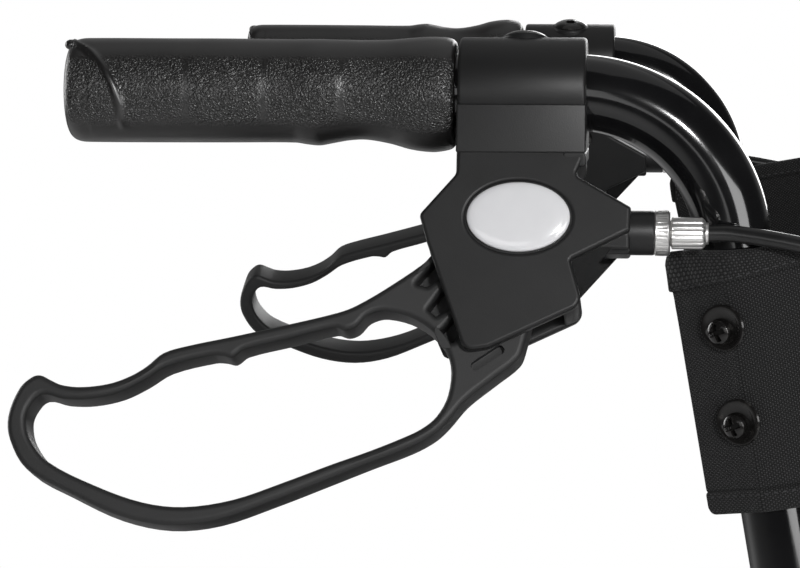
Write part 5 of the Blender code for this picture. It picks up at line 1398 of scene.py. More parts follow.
def rear_tubes():
    """The rear frame's rails, legs, hubs, cross tubes, stop struts and claws."""
    leg = [PIVOT, Vector((RAIL_CORNER_X, 0.0, RAIL_Z)), Vector((REAR_AXLE_X, 0.0, WHEEL_R))]
    side = Matrix.Translation((0.0, -REAR_LEG_HALF, 0.0))
    rail = shifted(tube(filleted(leg, RAIL_BEND_R), REAR_TUBE_R, 44), side)
    pivot_hub = crosswise(rod(PIVOT_HUB_R, REAR_HUB_INSIDE, PIVOT_HUB_OUTSIDE, 0.0010, 48), PIVOT)
    wheel_hub = crosswise(rod(WHEEL_HUB_R, REAR_HUB_INSIDE, REAR_WHEEL_HALF - HUB_HALF - GAP, 0.0010, 48),
                          (REAR_AXLE_X, 0.0, WHEEL_R))
    crosses = [crosswise(rod(radius, -REAR_LEG_HALF, REAR_LEG_HALF, 0.0, 40), (x, 0.0, RAIL_Z))
               for x, radius in REAR_BARS]
    clear = (CROSS_TUBE_R + STRUT_R + GAP) / cos(radians(20.0))
    start = Vector((REAR_CROSS_X, -STRUT_HALF, RAIL_Z))
    top = Vector((upright_x(LOWER_CROSS_Z), -STRUT_HALF, LOWER_CROSS_Z + clear))
    strut = tube([start, top, top + (top - start).normalized() * 0.011], STRUT_R, 32)
    return together(*both_sides(rail, pivot_hub, wheel_hub, strut, stop_claw()), *crosses)


def stop_claw():
    """The open claw at a strut's end, which bears on the front of the lower cross tube."""
    inner = CROSS_TUBE_R + GAP
    outer = inner + 0.0055
    turns = [radians(95.0 - 135.0 * i / 24) for i in range(25)]
    outline = [Vector((inner * cos(a), inner * sin(a))) for a in turns]
    outline += [Vector((outer * cos(a), outer * sin(a))) for a in reversed(turns)]
    claw = plate(outline, STRUT_HALF - 0.006, STRUT_HALF + 0.006, 0.0006)
    return crosswise(claw, (upright_x(LOWER_CROSS_Z), 0.0, LOWER_CROSS_Z))


def rear_welds():
    """Beads where cross tubes and hubs meet the rear frame's side tubes."""
    ahead = Vector((1, 0, 0))
    leg = Vector((RAIL_CORNER_X, 0.0, RAIL_Z)) - Vector((REAR_AXLE_X, 0.0, WHEEL_R))
    joints = [(x, RAIL_Z, ACROSS, radius, REAR_TUBE_R, ahead) for x, radius in REAR_BARS]
    joints += [(REAR_AXLE_X, WHEEL_R, leg, REAR_TUBE_R, WHEEL_HUB_R, ACROSS),
               (PIVOT.x, RAIL_Z, -ahead, REAR_TUBE_R, PIVOT_HUB_R, ACROSS)]
    beads = [weld(saddle(Vector((x, -REAR_LEG_HALF, z)), *tubes)) for x, z, *tubes in joints]
    return together(*both_sides(*beads))


# Seat

def seat_base():
    """The moulded seat board with ribs below and its two hinge clips."""
    board = box((SEAT_REAR_X, -SEAT_BOARD_HALF, SEAT_BOARD_LOW),
                (SEAT_FRONT_X, SEAT_BOARD_HALF, SEAT_BOARD_HIGH), 0.020, 0.0012)
    spans = ((SEAT_REAR_X + 0.020, REAR_CROSS_X - 0.018, 0.4965),
             (REAR_CROSS_X + 0.018, HINGE_BAR_X - 0.026, 0.4945))
    ribs = [box((rear, y - 0.0015, low), (front, y + 0.0015, 0.5010), 0.0004, 0.0004)
            for rear, front, low in spans for y in (-0.10, -0.05, 0.0, 0.05, 0.10)]
    clips = []
    for y in (-0.120, 0.120):
        clip = rounded([(-0.016, 0.0178, 0), (-0.013, -0.0125, 0.008), (0.013, -0.0125, 0.008),
                        (0.012, 0.0178, 0.006)])
        clip = plate(clip, -0.012, 0.012, 0.0008)
        clips.append(crosswise(clip, (HINGE_BAR_X, y, RAIL_Z)))
    bore = crosswise(rod(0.0085, -0.2, 0.2, 0.0), (HINGE_BAR_X, 0, RAIL_Z))
    return together(board, *ribs, *[cut(clip, bore) for clip in clips])


CUSHION_MIDDLE = Vector(((SEAT_FRONT_X + SEAT_REAR_X) / 2, 0.0, CUSHION_Z))
CUSHION_DEPTH = (SEAT_FRONT_X - SEAT_REAR_X) / 2
CHANNELS = (-0.36, 0.36)
SWELL_STEPS = 20


def squared(angle):
    """Cosine and sine of an angle, and the reach that makes a rounded square of them."""
    c, s = cos(angle), sin(angle)
    return c, s, (abs(c) ** 5 + abs(s) ** 5) ** -0.2


def cushion_ring(height, share, pull, around=176):
    """A rounded-square ring of the cushion, its sides drawn in between the corners."""
    ring = []
    for angle in full_turn(around):
        c, s, square = squared(angle)
        draw = 1.0 - 0.012 * pull * sin(2 * angle) ** 2
        ring.append(CUSHION_MIDDLE + Vector((CUSHION_DEPTH * share * square * c * draw,
                                             CUSHION_HALF * share * square * s * draw, height)))
    return ring


def swollen(mesh, room):
    """The mesh blown up like a stuffed cover by a cloth simulation, no point moving further than room."""
    body = linked("swelling", mesh)
    remesh = body.modifiers.new("even", "REMESH")
    remesh.mode = "VOXEL"
    remesh.voxel_size = 0.0055
    body.data = evaluated(body)
    body.modifiers.remove(remesh)
    start = [vertex.co.copy() for vertex in body.data.vertices]
    cloth = body.modifiers.new("cloth", "CLOTH")
    cloth.settings.use_pressure = True
    cloth.settings.uniform_pressure_force = 4.0
    cloth.settings.effector_weights.gravity = 0.0
    cloth.settings.quality = 4
    scene = bpy.context.scene
    for step in range(SWELL_STEPS):
        scene.frame_set(step + 1)
    result = evaluated(body)
    scene.frame_set(1)
    for vertex, before in zip(result.vertices, start):
        move = vertex.co - before
        if move.length > room:
            vertex.co = before + move.normalized() * room
    bpy.data.objects.remove(body)
    return result


def subdivided(mesh):
    """The mesh rounded by one subdivision."""
    body = linked("subdivided", mesh)
    modifier = body.modifiers.new("round", "SUBSURF")
    modifier.levels = 1
    modifier.render_levels = 1
    result = evaluated(body)
    bpy.data.objects.remove(body)
    return result


def cushion_pad():
    """The padded seat: crowned, flat where it rests, sewn into three panels by two channels."""
    shares = ((0.0, 0.905, 0.0), (0.003, 0.955, 0.1), (0.008, 0.978, 0.6), (0.015, 0.985, 1.0),
              (0.022, 0.978, 0.8), (0.028, 0.955, 0.3), (0.032, 0.915, 0.0), (0.034, 0.85, 0.0),
              (0.0352, 0.68, 0.0), (0.036, 0.40, 0.0), (0.0362, 0.12, 0.0))
    mesh = loft([cushion_ring(*share) for share in shares], sharp=180.0)
    mesh = subdivided(swollen(mesh, 0.0060))
    top = CUSHION_Z + 0.0425
    for vertex in mesh.vertices:
        p = vertex.co
        across = p.y / CUSHION_HALF
        along = (p.x - CUSHION_MIDDLE.x) / CUSHION_DEPTH
        high = max(0.0, min(1.0, (p.z - CUSHION_Z - 0.024) / 0.010))
        for line in CHANNELS:
            off = abs(across - line) * CUSHION_HALF
            reach = 0.0065 * exp(-(off / 0.0075) ** 2) + 0.0020 * exp(-(off / 0.0016) ** 2)
            p.z -= high * reach * max(0.0, 1.0 - abs(along) ** 8)
        wrinkle = sin(p.x * 210 + 3 * sin(p.y * 40)) * exp(-((abs(across) - 0.90) / 0.06) ** 2)
        p.z += high * 0.0005 * wrinkle
        p.z = min(top, max(CUSHION_Z, p.z))
    mesh.shade_smooth()
    return cloth_map(mesh)


def piped(lines, radius):
    """Cords of one radius along closed level lines."""
    return together(*[tube(line, radius, 10, UP, True) for line in lines])


def cushion_piping():
    """Corded seams round the cushion's top and bottom."""
    return piped([cushion_ring(0.0275, 0.978, 0.5, 240), cushion_ring(0.0052, 0.950, 0.2, 240)], 0.0019)


def channel_stitches(pad):
    """Stitches along the seat's two sewn channels, laid on the pad's own surface."""
    graph = bpy.context.evaluated_depsgraph_get()
    rows = []
    unit = ball(0.00042, (1.0, 1.0, 3.4), 6)
    for line in CHANNELS:
        points = []
        for k in range(81):
            x = CUSHION_MIDDLE.x + CUSHION_DEPTH * 0.93 * (k / 40 - 1)
            above = Vector((x, line * CUSHION_HALF, CUSHION_Z + 0.2))
            hit, spot, *_ = pad.ray_cast(above, Vector((0, 0, -1)), depsgraph=graph)
            if hit:
                points.append(spot + Vector((0.0, 0.0, 0.0001)))
        rows.append(along_line(unit, points, 0.0036, THREAD))
    return together(*rows)


# Bag

def bag_back(z):
    """X of the bag's back at height z."""
    return upright_x(z) + BAG_BACK_OFFSET / cos(LEAN)


def bag_height(rise):
    """Z at a share of the bag's height."""
    return BAG_BOTTOM_Z + (BAG_TOP_Z - BAG_BOTTOM_Z) * rise


def bag_ring(rise, width, depth):
    """A level ring of the bag, a rounded square that sags and creases in front."""
    z = bag_height(rise)
    back = bag_back(z)
    ring = []
    for angle in full_turn(160):
        c, s, square = squared(angle)
        x = back + BAG_DEPTH / 2 * (1.0 + depth * square * c)
        y = BAG_HALF * width * square * s
        front = max(0.0, c) ** 0.5
        fold = 0.0016 * sin(rise * 19.0 + 2.2 * sin(y * 31.0)) * front * sin(pi * rise)
        sag = 0.0035 * exp(-((rise - 0.30) / 0.22) ** 2) * front * cos(y * 9.0)
        droop = -0.004 * (1.0 - (y / BAG_HALF) ** 2) * max(0.0, rise - 0.85) / 0.15
        ring.append(Vector((x + fold + sag, y, z + droop)))
    return ring


BAG_SHARES = ((0.0, 0.62, 0.50), (0.0, 0.80, 0.70), (0.006, 0.860, 0.775), (0.020, 0.905, 0.840),
              (0.045, 0.940, 0.905), (0.09, 0.965, 0.960), (0.16, 0.985, 1.010), (0.26, 0.998, 1.045),
              (0.38, 1.0, 1.060), (0.50, 1.0, 1.050), (0.62, 0.998, 1.030), (0.74, 0.988, 0.990),
              (0.84, 0.975, 0.950), (0.90, 0.965, 0.925), (0.94, 0.950, 0.895), (0.97, 0.930, 0.860),
              (0.988, 0.900, 0.815), (0.998, 0.860, 0.760), (1.0, 0.80, 0.69), (1.0, 0.60, 0.50))


def bag_shell():
    """The bag's cloth body."""
    return cloth_map(loft([bag_ring(*share) for share in BAG_SHARES], sharp=180.0))


def bag_piping():
    """Corded seams round the bag's top and bottom."""
    return piped([bag_ring(0.035, 0.928, 0.885), bag_ring(0.955, 0.943, 0.882)], 0.0021)


def zip_line(height):
    """The zip's line across the bag's top, at a height above it."""
    top = BAG_TOP_Z - 0.003
    middle = bag_back(top) + BAG_DEPTH * 0.52
    return [Vector((middle - 0.010 * (y / BAG_HALF) ** 2, y,
                    top + height - 0.001 * (1 - (y / BAG_HALF) ** 2)))
            for y in [BAG_HALF * 0.82 * (k / 40 - 1) for k in range(81)]]


def bag_zip():
    """The zip's tape on top of the bag."""
    section = [(-0.0120, -0.0004), (0.0120, -0.0004), (0.0120, 0.0005), (-0.0120, 0.0005)]
    return sweep(zip_line(0.0018), section, Vector((1.0, 0.0, 0.0)))


def zip_teeth():
    """Two rows of teeth, half a step apart."""
    tooth = box((-0.0013, -0.0007, -0.0008), (0.0013, 0.0007, 0.0008), 0.0002, 0.0002)
    teeth = []
    for side, shift in ((-1.0, 0.0), (1.0, 0.00125)):
        line = [p + Vector((side * 0.0011, shift, 0.0)) for p in zip_line(0.0030)]
        teeth.append(along_line(tooth, line, 0.0025, SATIN))
    return together(*teeth)


def zip_slider():
    """The zip's slider with its pull."""
    end = zip_line(0.0035)[6]
    body = box((-0.0048, -0.0055, -0.0006), (0.0048, 0.0055, 0.0030), 0.0018, 0.0008)
    bridge = box((-0.0014, -0.0045, 0.0026), (0.0014, 0.0040, 0.0048), 0.0008, 0.0006)
    pull = box((-0.0032, -0.0260, 0.0026), (0.0032, -0.0030, 0.0040), 0.0026, 0.0005)
    return shifted(together(body, bridge, pull), Matrix.Translation(end))


def bag_pocket():
    """The open pocket sewn on the bag's front."""
    rows = []
    for k in range(25):
        rise = POCKET_RISE + 0.55 * k / 24
        z = bag_height(rise)
        front = [p for p in bag_ring(rise, 1.0, 1.045) if p.x > bag_back(z) + BAG_DEPTH / 2]
        row = []
        for j in range(41):
            y = POCKET_HALF * (j / 20 - 1)
            nearest = min(front, key=lambda p: (p.y - y) ** 2)
            edge = min(1.0, (POCKET_HALF - abs(y)) / 0.012, (rise - POCKET_RISE) / 0.05)
            bulge = 0.0012 + 0.0062 * max(0.0, edge) ** 0.6 * cos(y / POCKET_HALF * 1.45)
            if rise > 0.62:
                bulge += 0.0010
            row.append(Vector((nearest.x + bulge, y, z)))
        rows.append(row)
    rings = []
    for row in rows:
        inner = [Vector((p.x - 0.0022, p.y, p.z)) for p in reversed(row)]
        rings.append(row + inner)
    return cloth_map(loft(rings, sharp=70.0))


def loop_path(y):
    """A webbing loop's middle line, round the upper cross tube and down to the bag."""
    x = upright_x(UPPER_CROSS_Z)
    reach = CROSS_TUBE_R + GAP + 0.0014
    back = bag_back(BAG_TOP_Z)
    points = []
    for k in range(33):
        angle = radians(-62.0 + 310.0 * k / 32)
        points.append(Vector((x + reach * cos(angle), y, UPPER_CROSS_Z + reach * sin(angle))))
    tail = [Vector((back + 0.004, y, BAG_TOP_Z + 0.014)), Vector((back + 0.0100, y, BAG_TOP_Z + 0.0035)),
            Vector((back + 0.0240, y, BAG_TOP_Z - 0.0015))]
    return smooth([*reversed(tail), *points[::4]], 5)


def bag_loops():
    """The two webbing loops that hold the bag on the upper cross tube."""
    half = 0.012
    thin = 0.0011
    section = [(-half, -thin), (half, -thin), (half, thin), (-half, thin)]
    return together(*[sweep(loop_path(y), section) for y in (-BAG_LOOP_HALF, BAG_LOOP_HALF)])


def loop_stitches():
    """A stitched box with one diagonal on each loop's tail."""
    unit = ball(0.0004, (1.0, 1.0, 3.2), 6)
    rows = []
    back = bag_back(BAG_TOP_Z)
    for y in (-BAG_LOOP_HALF, BAG_LOOP_HALF):
        low, high = back + 0.0085, back + 0.0225
        corners = [(low, y - 0.0095), (high, y - 0.0095), (high, y + 0.0095), (low, y + 0.0095)]
        square = [Vector((px, py, BAG_TOP_Z + 0.0048 - 0.26 * (px - low))) for px, py in corners]
        rows.append(along_line(unit, square, 0.0028, THREAD, True))
        rows.append(along_line(unit, [square[0], square[2]], 0.0028, THREAD))
    return together(*rows)


# Wheels, forks and brakes

def wheel_place(x, half):
    """Stands a shape drawn about Z on a wheel's axle, on the right side."""
    return Matrix.Translation((x, -half, WHEEL_R)) @ SIDE_VIEW


def wheel_rim():
    """The five-spoked rim with its stepped hub."""
    outer = WHEEL_R - TYRE_DEPTH
    half = TYRE_WIDTH / 2 - 0.003
    inner = outer - RIM_WALL
    ring = turned([(-half, inner + 0.0042), (-half, outer - 0.0006), (-half + 0.0006, outer),
                   (half - 0.0006, outer), (half, outer - 0.0006), (half, inner + 0.0042),
                   (half - 0.0008, inner + 0.0032), (0.006, inner + 0.0006), (0.0, inner),
                   (-0.006, inner + 0.0006), (-half + 0.0008, inner + 0.0032)],
                  120, True)
    hub = [(-HUB_HALF, 0.0045), (-HUB_HALF, 0.0100), (-HUB_HALF + 0.0008, 0.0110),
           (-HUB_HALF + 0.004, 0.0115), (-HUB_HALF + 0.007, HUB_R)]
    hub = turned(hub + mirrored(hub), 64, True)
    edge = [(HUB_R - 0.004, -0.0105, 0), (HUB_R + 0.008, -0.0078, 0.020), (inner - 0.014, -0.0062, 0.020),
            (inner + 0.004, -0.0110, 0)]
    slot = [(HUB_R + 0.010, -0.0034, 0.0016), (inner - 0.010, -0.0030, 0.0024)]
    edge, slot = (rounded(line + [(x, -y, radius) for x, y, radius in reversed(line)])
                  for line in (edge, slot))
    spoke = plate(edge, -0.0060, 0.0060, 0.0014, [slot])
    web = box((HUB_R - 0.002, -0.0050, -0.0022), (inner + 0.002, 0.0050, 0.0022), 0.0004, 0.0004)
    spokes = round_axle(together(spoke, web), SPOKES, SATIN)
    turn = Matrix.Rotation(2 * pi * 0.25 / SPOKES, 4, "Z")
    return together(ring, hub, shifted(spokes, turn))


def wheel_tyre():
    """A solid tyre with a chevron tread."""
    seat = WHEEL_R - TYRE_DEPTH + GAP
    half = TYRE_WIDTH / 2
    flank = [(-half * 0.80, seat), (-half * 0.93, seat + 0.0022), (-half, seat + 0.0080),
             (-half * 0.985, seat + 0.0125), (-half * 0.92, WHEEL_R - 0.0058),
             (-half * 0.78, WHEEL_R - 0.0032), (-half * 0.50, WHEEL_R - 0.0019)]
    carcass = turned(flank + [(0.0, WHEEL_R - 0.0015)] + mirrored(flank), 144, True)
    blocks = []
    for side in (-1.0, 1.0):
        low, high = sorted((side * 0.0012, side * half * 0.82))
        rings = []
        for k in range(9):
            z = low + (high - low) * k / 8
            share = abs(z) / half
            crown = WHEEL_R - 0.0002 - 0.0030 * share ** 3
            skew = 0.075 * share
            ring = []
            for turn, r in ((-0.021, WHEEL_R - 0.0060), (-0.019, crown), (0.019, crown),
                            (0.021, WHEEL_R - 0.0060)):
                angle = turn + skew
                ring.append((r * cos(angle), r * sin(angle), z))
            rings.append(ring)
        blocks.append(shifted(loft(rings), Matrix.Rotation(0.0 if side > 0 else pi / TREAD_BLOCKS, 4, "Z")))
    tread = round_axle(together(*blocks), TREAD_BLOCKS, RUBBER)
    return together(carcass, tread)


def wheel_fork():
    """The moulded fork: crown, blades with a raised rim, axle bosses and stem."""
    axle = FRONT_AXLE_X - STEM_X
    low = CROWN_TOP_Z - 0.018
    outline = rounded([(axle - 0.013, WHEEL_R - 0.014, 0.012), (axle + 0.013, WHEEL_R - 0.014, 0.012),
                       (0.024, low, 0.030), (0.024, CROWN_TOP_Z - 0.0003, 0.005),
                       (-0.030, CROWN_TOP_Z - 0.0003, 0.005), (-0.034, low - 0.004, 0.030)])
    inner = FORK_HALF - FORK_BLADE
    window = rounded([(axle - 0.002, WHEEL_R + 0.024, 0.004), (axle + 0.012, WHEEL_R + 0.024, 0.004),
                      (0.008, low - 0.016, 0.006), (-0.018, low - 0.018, 0.006)])
    rim = inset(window, -0.0024)
    blades = []
    for near, raised in ((inner, inner + FORK_BLADE), (-FORK_HALF, -FORK_HALF)):
        blades.append(shifted(plate(outline, near, near + FORK_BLADE, 0.0009), SIDE_VIEW))
        blades.append(shifted(plate(rim, raised - 0.0006, raised + 0.0006, 0.0004, [window]), SIDE_VIEW))
    bosses = [crosswise(rod(0.0115, near, near + 0.0030, 0.0006), (axle, 0.0, WHEEL_R))
              for near in (FORK_HALF - 0.0028, -FORK_HALF - 0.0002)]
    crown = box((-0.0275, -FORK_HALF + 0.0015, low), (0.0215, FORK_HALF - 0.0015, CROWN_TOP_Z - 0.0002),
                0.003, 0.0012)
    stem = rod(0.007, CROWN_TOP_Z - 0.004, CROWN_TOP_Z + 0.049, 0.0008, 32)
    collar = rod(0.0125, CROWN_TOP_Z - 0.003, CROWN_TOP_Z + 0.0002, 0.0004)
    whole = together(crown, *blades, *bosses, stem, collar)
    return shifted(whole, Matrix.Translation((STEM_X, -HANDLE_HALF, 0.0)))


def axle_bolt(inner, outer):
    """A bolt through a hub: hexagonal nut with washer inside, hexagonal head outside."""
    nut = plate(hexagon(NUT_R), inner - 0.0052, inner - 0.0008, 0.0005)
    washer = rod(0.0078, inner - 0.0009, inner, 0.0002, 40)
    shank = rod(0.004, inner - 0.0062, outer, 0.0005, 32)
    plug = rod(0.0080, outer, outer + 0.0011, 0.0003, 40)
    head = plate(hexagon(NUT_R), outer + 0.0010, outer + 0.0036, 0.0006)
    return together(nut, washer, shank, plug, head)


def link_outline(start, end, start_r, end_r, steps=16):
    """The outline of a bar with a round end about each of two points."""
    ahead = (end - start).normalized()
    side = Vector((-ahead.y, ahead.x))
    outline = []
    for centre, radius, forward in ((start, start_r, -ahead), (end, end_r, ahead)):
        begin = side if forward == -ahead else -side
        for i in range(steps + 1):
            angle = pi * i / steps
            outline.append(centre + radius * (begin * cos(angle) + forward * sin(angle)))
    return outline


ARM_INSIDE = REAR_LEG_HALF + REAR_TUBE_R + GAP


def pad_centre():
    """The brake shoe's middle from the arm's pin, in the plane of the wheel."""
    outward = Vector((-sin(PAD_TILT), cos(PAD_TILT)))
    centre = Vector((REAR_AXLE_X, WHEEL_R)) + outward * (WHEEL_R + 0.007)
    return centre - Vector((BRAKE_PIN.x, BRAKE_PIN.z))


def pad_frame():
    """The brake shoe's place, turned to lie along the tyre."""
    return Matrix.Translation((*pad_centre(), 0.0)) @ Matrix.Rotation(PAD_TILT, 4, "Z")


def brake_link():
    """The brake arm with its cable ear, bridge and the shoe over the tyre."""
    pad = pad_centre()
    origin = Vector((0.0, 0.0))
    low = ARM_INSIDE
    high = low + 0.006
    arm = plate(link_outline(pad, origin, 0.0065, 0.0090), low, high, 0.0007)
    horn = plate(link_outline(origin, Vector((BRAKE_EAR, 0.004)), 0.0080, 0.0050), low, high, 0.0007)
    ring = rod(0.0072, high - 0.001, high + 0.0006, 0.0003, 36)
    turn = pad_frame()
    block = box((-0.0170, -0.0040, REAR_WHEEL_HALF - 0.015), (0.0170, 0.0040, REAR_WHEEL_HALF + 0.015),
                0.0010, 0.0010)
    bridge = box((-0.0080, -0.0032, low), (0.0080, 0.0032, REAR_WHEEL_HALF), 0.0008, 0.0006)
    place = Matrix.Translation(BRAKE_PIN) @ SIDE_VIEW
    return shifted(together(arm, horn, ring, shifted(bridge, turn), shifted(block, turn)), place)


def brake_teeth():
    """Cross ribs under the brake shoe, which bite the tyre."""
    turn = pad_frame()
    rib = box((-0.0009, -0.0014, -0.0140), (0.0009, 0.0006, 0.0140), 0.0004, 0.0003)
    rib = shifted(rib, ALONG_HANDLE.inverted())
    line = [Vector((x / 1000, -0.0040, REAR_WHEEL_HALF)) for x in (-15.0, 15.0)]
    ribs = along_line(rib, line, 0.0050, STEEL)
    return shifted(ribs, Matrix.Translation(BRAKE_PIN) @ SIDE_VIEW @ turn)


def brake_pin():
    """The pin on which the brake arm turns."""
    outside = ARM_INSIDE + 0.006 + GAP
    pin = turned([(REAR_LEG_HALF + 0.002, 0.003), (outside, 0.003), (outside, 0.0053),
                  (outside + 0.0006, 0.0056), (outside + 0.0014, 0.0053), (outside + 0.0020, 0.0042),
                  (outside + 0.0023, 0.0020), (outside + 0.0023, 0.0004)], 36)
    return crosswise(pin, BRAKE_PIN)


# The pieces on their bodies

def dress_handlebar():
    """Handle tubes, grips, brakes and the back strap."""
    pair("handle_tubing", shifted(tube(handle_path(), HANDLE_TUBE_R, 64), RIGHT_SIDE), GLOSS, "handlebar",
         "gloss_black_paint", "handle_tube_{}")
    dress("grip_sleeve_right", grip_sleeve(), VINYL, "handlebar", "grip_vinyl", "grip_right")
    dress("grip_sleeve_left", shifted(grip_sleeve(True), MIRROR), VINYL, "handlebar", "grip_vinyl",
          "grip_left")
    pair("housing_shell", housing_body(), NYLON, "handlebar", "moulded_black", "brake_housing_{}")
    pair("badge_dome", badge_dome(), RESIN, "handlebar", "white_badge", "badge_{}")
    pair("pivot_rivet", pivot_pin(), STEEL, "handlebar", "black_steel", "lever_pin_{}")
    pair("ring_nut", ring_nut(), ZINC, "handlebar", "zinc", "cable_lock_ring_{}")
    pair("fluted_barrel", barrel(), ZINC, "barrel_adjuster_{}", "zinc", "barrel_adjuster_{}")
    pair("collar_screw", clamp_screw(), STEEL, "handlebar", "black_steel", "clamp_screw_{}")
    for name, place in STRAP_SCREWS.items():
        pair(f"{name}_strap_bolt", strap_screw(place), STEEL, "handlebar", "black_steel",
             "strap_screw_" + name + "_{}")
    loop = lever_loop()
    dress("lever_bar_right", shifted(loop, lever_in_place()), LEVER, "brake_lever_right", "moulded_black",
          "brake_lever_right")
    drooped = shifted(loop, MIRROR @ lever_in_place(LEFT_LEVER_DROOP))
    dress("lever_bar_left", drooped, LEVER, "brake_lever_left", "moulded_black", "brake_lever_left")
    strap = dress("strap_panel", strap_panel(), STRAP_CLOTH, "handlebar", "black_fabric", "back_strap")
    dress("strap_stitching", strap_stitches(), THREAD, "handlebar", "black_fabric")


def dress_cables():
    """The brake cables, laid along their routes and baked in place, on no body."""
    upper = smooth(upper_route(), 8)
    sleeve = tube(upper, CABLE_R, 24)
    for piece in pair("upper_sleeve", sleeve, SLEEVE, None, "cable_black", "upper_cable_{}"):
        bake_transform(piece)
    lower = smooth(lower_route(), 6)
    sleeve = tube(lower, LOWER_CABLE_R, 20)
    for piece in pair("lower_sleeve", sleeve, SLEEVE, None, "cable_black", "lower_cable_{}"):
        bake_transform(piece)


def dress_front():
    """The front frame with collars, bag, forks and front wheels."""
    dress("front_tubing", front_tubes(), GLOSS, "front_frame", "gloss_black_paint", "front_frame")
    dress("front_weld_beads", front_welds(), GLOSS, "front_frame", "gloss_black_paint")
    pair("head_cap", head_cap(), SATIN, "front_frame", "satin_black")
    pair("clamp_collar", clamp_collar(), SATIN, "front_frame", "satin_black", "height_collar_{}")
    pair("clamp_knob", clamp_knob(), SATIN, "height_knob_{}", "satin_black", "height_knob_{}")
    pair("fold_screw", fold_bolt(), ZINC, "front_frame", "zinc", "fold_bolt_{}")
    dress("bag_shell", bag_shell(), BAG_CLOTH, "front_frame", "black_fabric", "bag")
    dress("bag_pocket", bag_pocket(), BAG_CLOTH, "front_frame", "black_fabric")
    dress("bag_piping", bag_piping(), WEBBING, "front_frame", "black_fabric")
    dress("bag_loops", bag_loops(), WEBBING, "front_frame", "black_fabric")
    dress("bag_loop_stitches", loop_stitches(), THREAD, "front_frame", "black_fabric")
    dress("bag_zip_tape", bag_zip(), WEBBING, "front_frame", "black_fabric")
    dress("bag_zip_teeth", zip_teeth(), SATIN, "front_frame", "satin_black")
    dress("bag_zip_slider", zip_slider(), STEEL, "front_frame", "black_steel")
    pair("fork_moulding", wheel_fork(), SATIN, "fork_{}", "moulded_black", "fork_{}")
    place = wheel_place(FRONT_AXLE_X, HANDLE_HALF)
    bolt = shifted(axle_bolt(-FORK_HALF - 0.0004, FORK_HALF + 0.0004), place)
    pair("front_axle_bolt", bolt, ZINC, "fork_{}", "zinc", "front_axle_{}")
    pair("front_spoked_rim", shifted(wheel_rim(), place), SATIN, "front_wheel_{}", "satin_black",
         "front_rim_{}")
    pair("front_treaded_tyre", shifted(wheel_tyre(), place), RUBBER, "front_wheel_{}", "tyre_black",
         "front_tyre_{}")


def dress_rear():
    """The rear frame with the seat, rear wheels and brake arms."""
    dress("rear_tubing", rear_tubes(), GLOSS, "rear_frame", "gloss_black_paint", "rear_frame")
    dress("rear_weld_beads", rear_welds(), GLOSS, "rear_frame", "gloss_black_paint")
    dress("seat_base", seat_base(), SATIN, "seat", "satin_black", "seat_board")
    pad = dress("seat_pad", cushion_pad(), SEAT_CLOTH, "seat", "black_fabric", "seat_cushion")
    dress("seat_piping", cushion_piping(), WEBBING, "seat", "black_fabric")
    dress("seat_stitching", channel_stitches(pad), THREAD, "seat", "black_fabric")
    place = wheel_place(REAR_AXLE_X, REAR_WHEEL_HALF)
    pair("rear_spoked_rim", shifted(wheel_rim(), place), SATIN, "rear_wheel_{}", "satin_black", "rear_rim_{}")
    pair("rear_treaded_tyre", shifted(wheel_tyre(), place), RUBBER, "rear_wheel_{}", "tyre_black",
         "rear_tyre_{}")
    bolt = shifted(axle_bolt(REAR_HUB_INSIDE - GAP - REAR_WHEEL_HALF, HUB_HALF + GAP), place)
    pair("rear_axle_bolt", bolt, ZINC, "rear_frame", "zinc", "rear_axle_{}")
    pair("brake_link", brake_link(), STEEL, "brake_arm_{}", "black_steel", "brake_arm_{}")
    pair("brake_link_teeth", brake_teeth(), STEEL, "brake_arm_{}", "black_steel")
    pair("brake_link_pin", brake_pin(), ZINC, "rear_frame", "zinc", "brake_arm_pin_{}")


# Camera, floor and light

CAMERA_PLACE = (0.0674, -1.31586, 0.9329)
CAMERA_TURN = (-4.884, -5.097, 0.133)
CAMERA_LENS = 147.24


def studio_camera():
    """The camera at the photograph's place, turned by yaw, pitch and roll in degrees."""
    data = bpy.data.cameras.new("camera")
    data.sensor_width = 36.0
    data.lens = CAMERA_LENS
    data.clip_end = 100.0
    camera = linked("camera", data)
    yaw, pitch, roll = (radians(a) for a in CAMERA_TURN)
    right = Vector((cos(yaw), -sin(yaw), 0.0))
    ahead = Vector((sin(yaw), cos(yaw), 0.0))
    look = ahead * cos(pitch) + UP * sin(pitch)
    up = UP * cos(pitch) - ahead * sin(pitch)
    columns = (right * cos(roll) + up * sin(roll), up * cos(roll) - right * sin(roll), -look)
    camera.matrix_world = Matrix.Translation(CAMERA_PLACE) @ Matrix(columns).transposed().to_4x4()
    bpy.context.scene.camera = camera


def seen_directly(finish):
    """1 for rays that see the background itself, in the camera or through glass."""
    path = finish.tree.nodes.new("ShaderNodeLightPath")
    rays = [Signal(finish, path.outputs[name]) for name in ("Is Camera Ray", "Is Transmission Ray")]
    return rays[0].higher_of(rays[1])


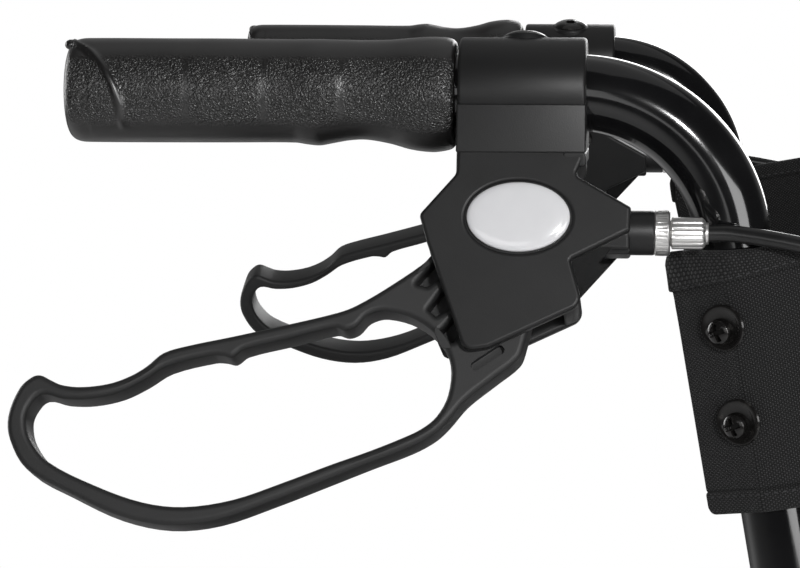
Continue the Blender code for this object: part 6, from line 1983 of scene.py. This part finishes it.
def studio_floor():
    """A pale floor that fades into the white surround away from the object."""
    bm = bmesh.new()
    bmesh.ops.create_circle(bm, cap_ends=True, segments=96, radius=8.0)
    mesh = written(bm, "floor")
    floor = linked("floor", mesh)
    paper = Finish("pale_floor", (0.80, 0.80, 0.80), 0.9)
    place = paper.place()
    away = paper.node("ShaderNodeVectorMath", {"operation": "LENGTH"}, {0: place}, "Value")
    paper.feed("Base Color", paper.mixed(away.between(1.2, 3.0), (0.80, 0.80, 0.80), (0.24, 0.24, 0.24)))
    white = paper.node("ShaderNodeEmission", {}, {"Color": (1.0, 1.0, 1.0, 1.0), "Strength": 1.0})
    factor = (0.55 + away.between(0.7, 2.2) * 0.45) * seen_directly(paper)
    shader = Signal(paper, paper.shader.outputs[0])
    mixed = paper.node("ShaderNodeMixShader", {}, {0: factor, 1: shader, 2: white})
    paper.connect(paper.tree.nodes["Material Output"].inputs["Surface"], mixed)
    mesh.materials.append(paper.material)


def studio_world():
    """White behind the object, a dim plain light on it, and darker tones for its reflections."""
    world = bpy.data.worlds.new("studio")
    bpy.context.scene.world = world
    world.use_nodes = True
    sky = Nodes(world.node_tree)
    rays = sky.tree.nodes.new("ShaderNodeLightPath").outputs
    seen = sky.node("ShaderNodeMath", {"operation": "MAXIMUM"},
                    {0: rays["Is Camera Ray"], 1: rays["Is Transmission Ray"]})
    place = sky.node("ShaderNodeTexCoord", {}, {}, "Generated")
    along = sky.node("ShaderNodeSeparateXYZ", {}, {0: place}, "Y")
    behind = sky.node("ShaderNodeMapRange", {"interpolation_type": "SMOOTHSTEP"},
                      {"Value": along, "From Min": 0.35, "From Max": 0.95, "To Min": 0.04, "To Max": 0.35},
                      "Result")
    lit = sky.node("ShaderNodeMix", {"data_type": "FLOAT"},
                   {"Factor": rays["Is Glossy Ray"], 2: 0.10, 3: behind})
    strength = sky.node("ShaderNodeMix", {"data_type": "FLOAT"}, {"Factor": seen, 2: lit, 3: 1.0})
    ground = sky.tree.nodes["Background"].inputs
    sky.connect(ground["Strength"], strength)
    sky.connect(ground["Color"], (1.0, 1.0, 1.0, 1.0))


def softbox(name, place, target, size, power):
    """A rectangular lamp that faces its target."""
    data = bpy.data.lights.new(name, "AREA")
    data.shape = "RECTANGLE"
    data.size, data.size_y = size
    data.energy = power
    lamp = linked(name, data)
    way = Vector(target) - Vector(place)
    lamp.matrix_world = Matrix.Translation(place) @ way.to_track_quat("-Z", "Y").to_matrix().to_4x4()


def studio_lights():
    """A key lamp and five softboxes round the object."""
    middle = (0.05, 0.0, 0.60)
    handle = (0.05, -0.23, 0.88)
    softbox("key_lamp", (0.72, -2.45, 1.58), handle, (0.16, 0.16), 25.0)
    softbox("front_box", (-0.6, -2.4, 1.00), middle, (1.4, 0.8), 5.0)
    softbox("right_box", (1.55, -2.15, 1.00), handle, (1.25, 0.9), 20.0)
    softbox("top_box", (0.2, 0.2, 2.6), middle, (1.8, 1.8), 3.0)
    softbox("left_box", (-2.2, 0.9, 1.2), middle, (0.7, 1.6), 20.0)
    softbox("rear_box", (0.8, 2.4, 1.5), middle, (1.6, 1.2), 26.0)


studio_camera()
studio_floor()
studio_world()
studio_lights()
bpy.context.scene.view_settings.view_transform = "Standard"
dress_handlebar()
dress_cables()
dress_front()
dress_rear()
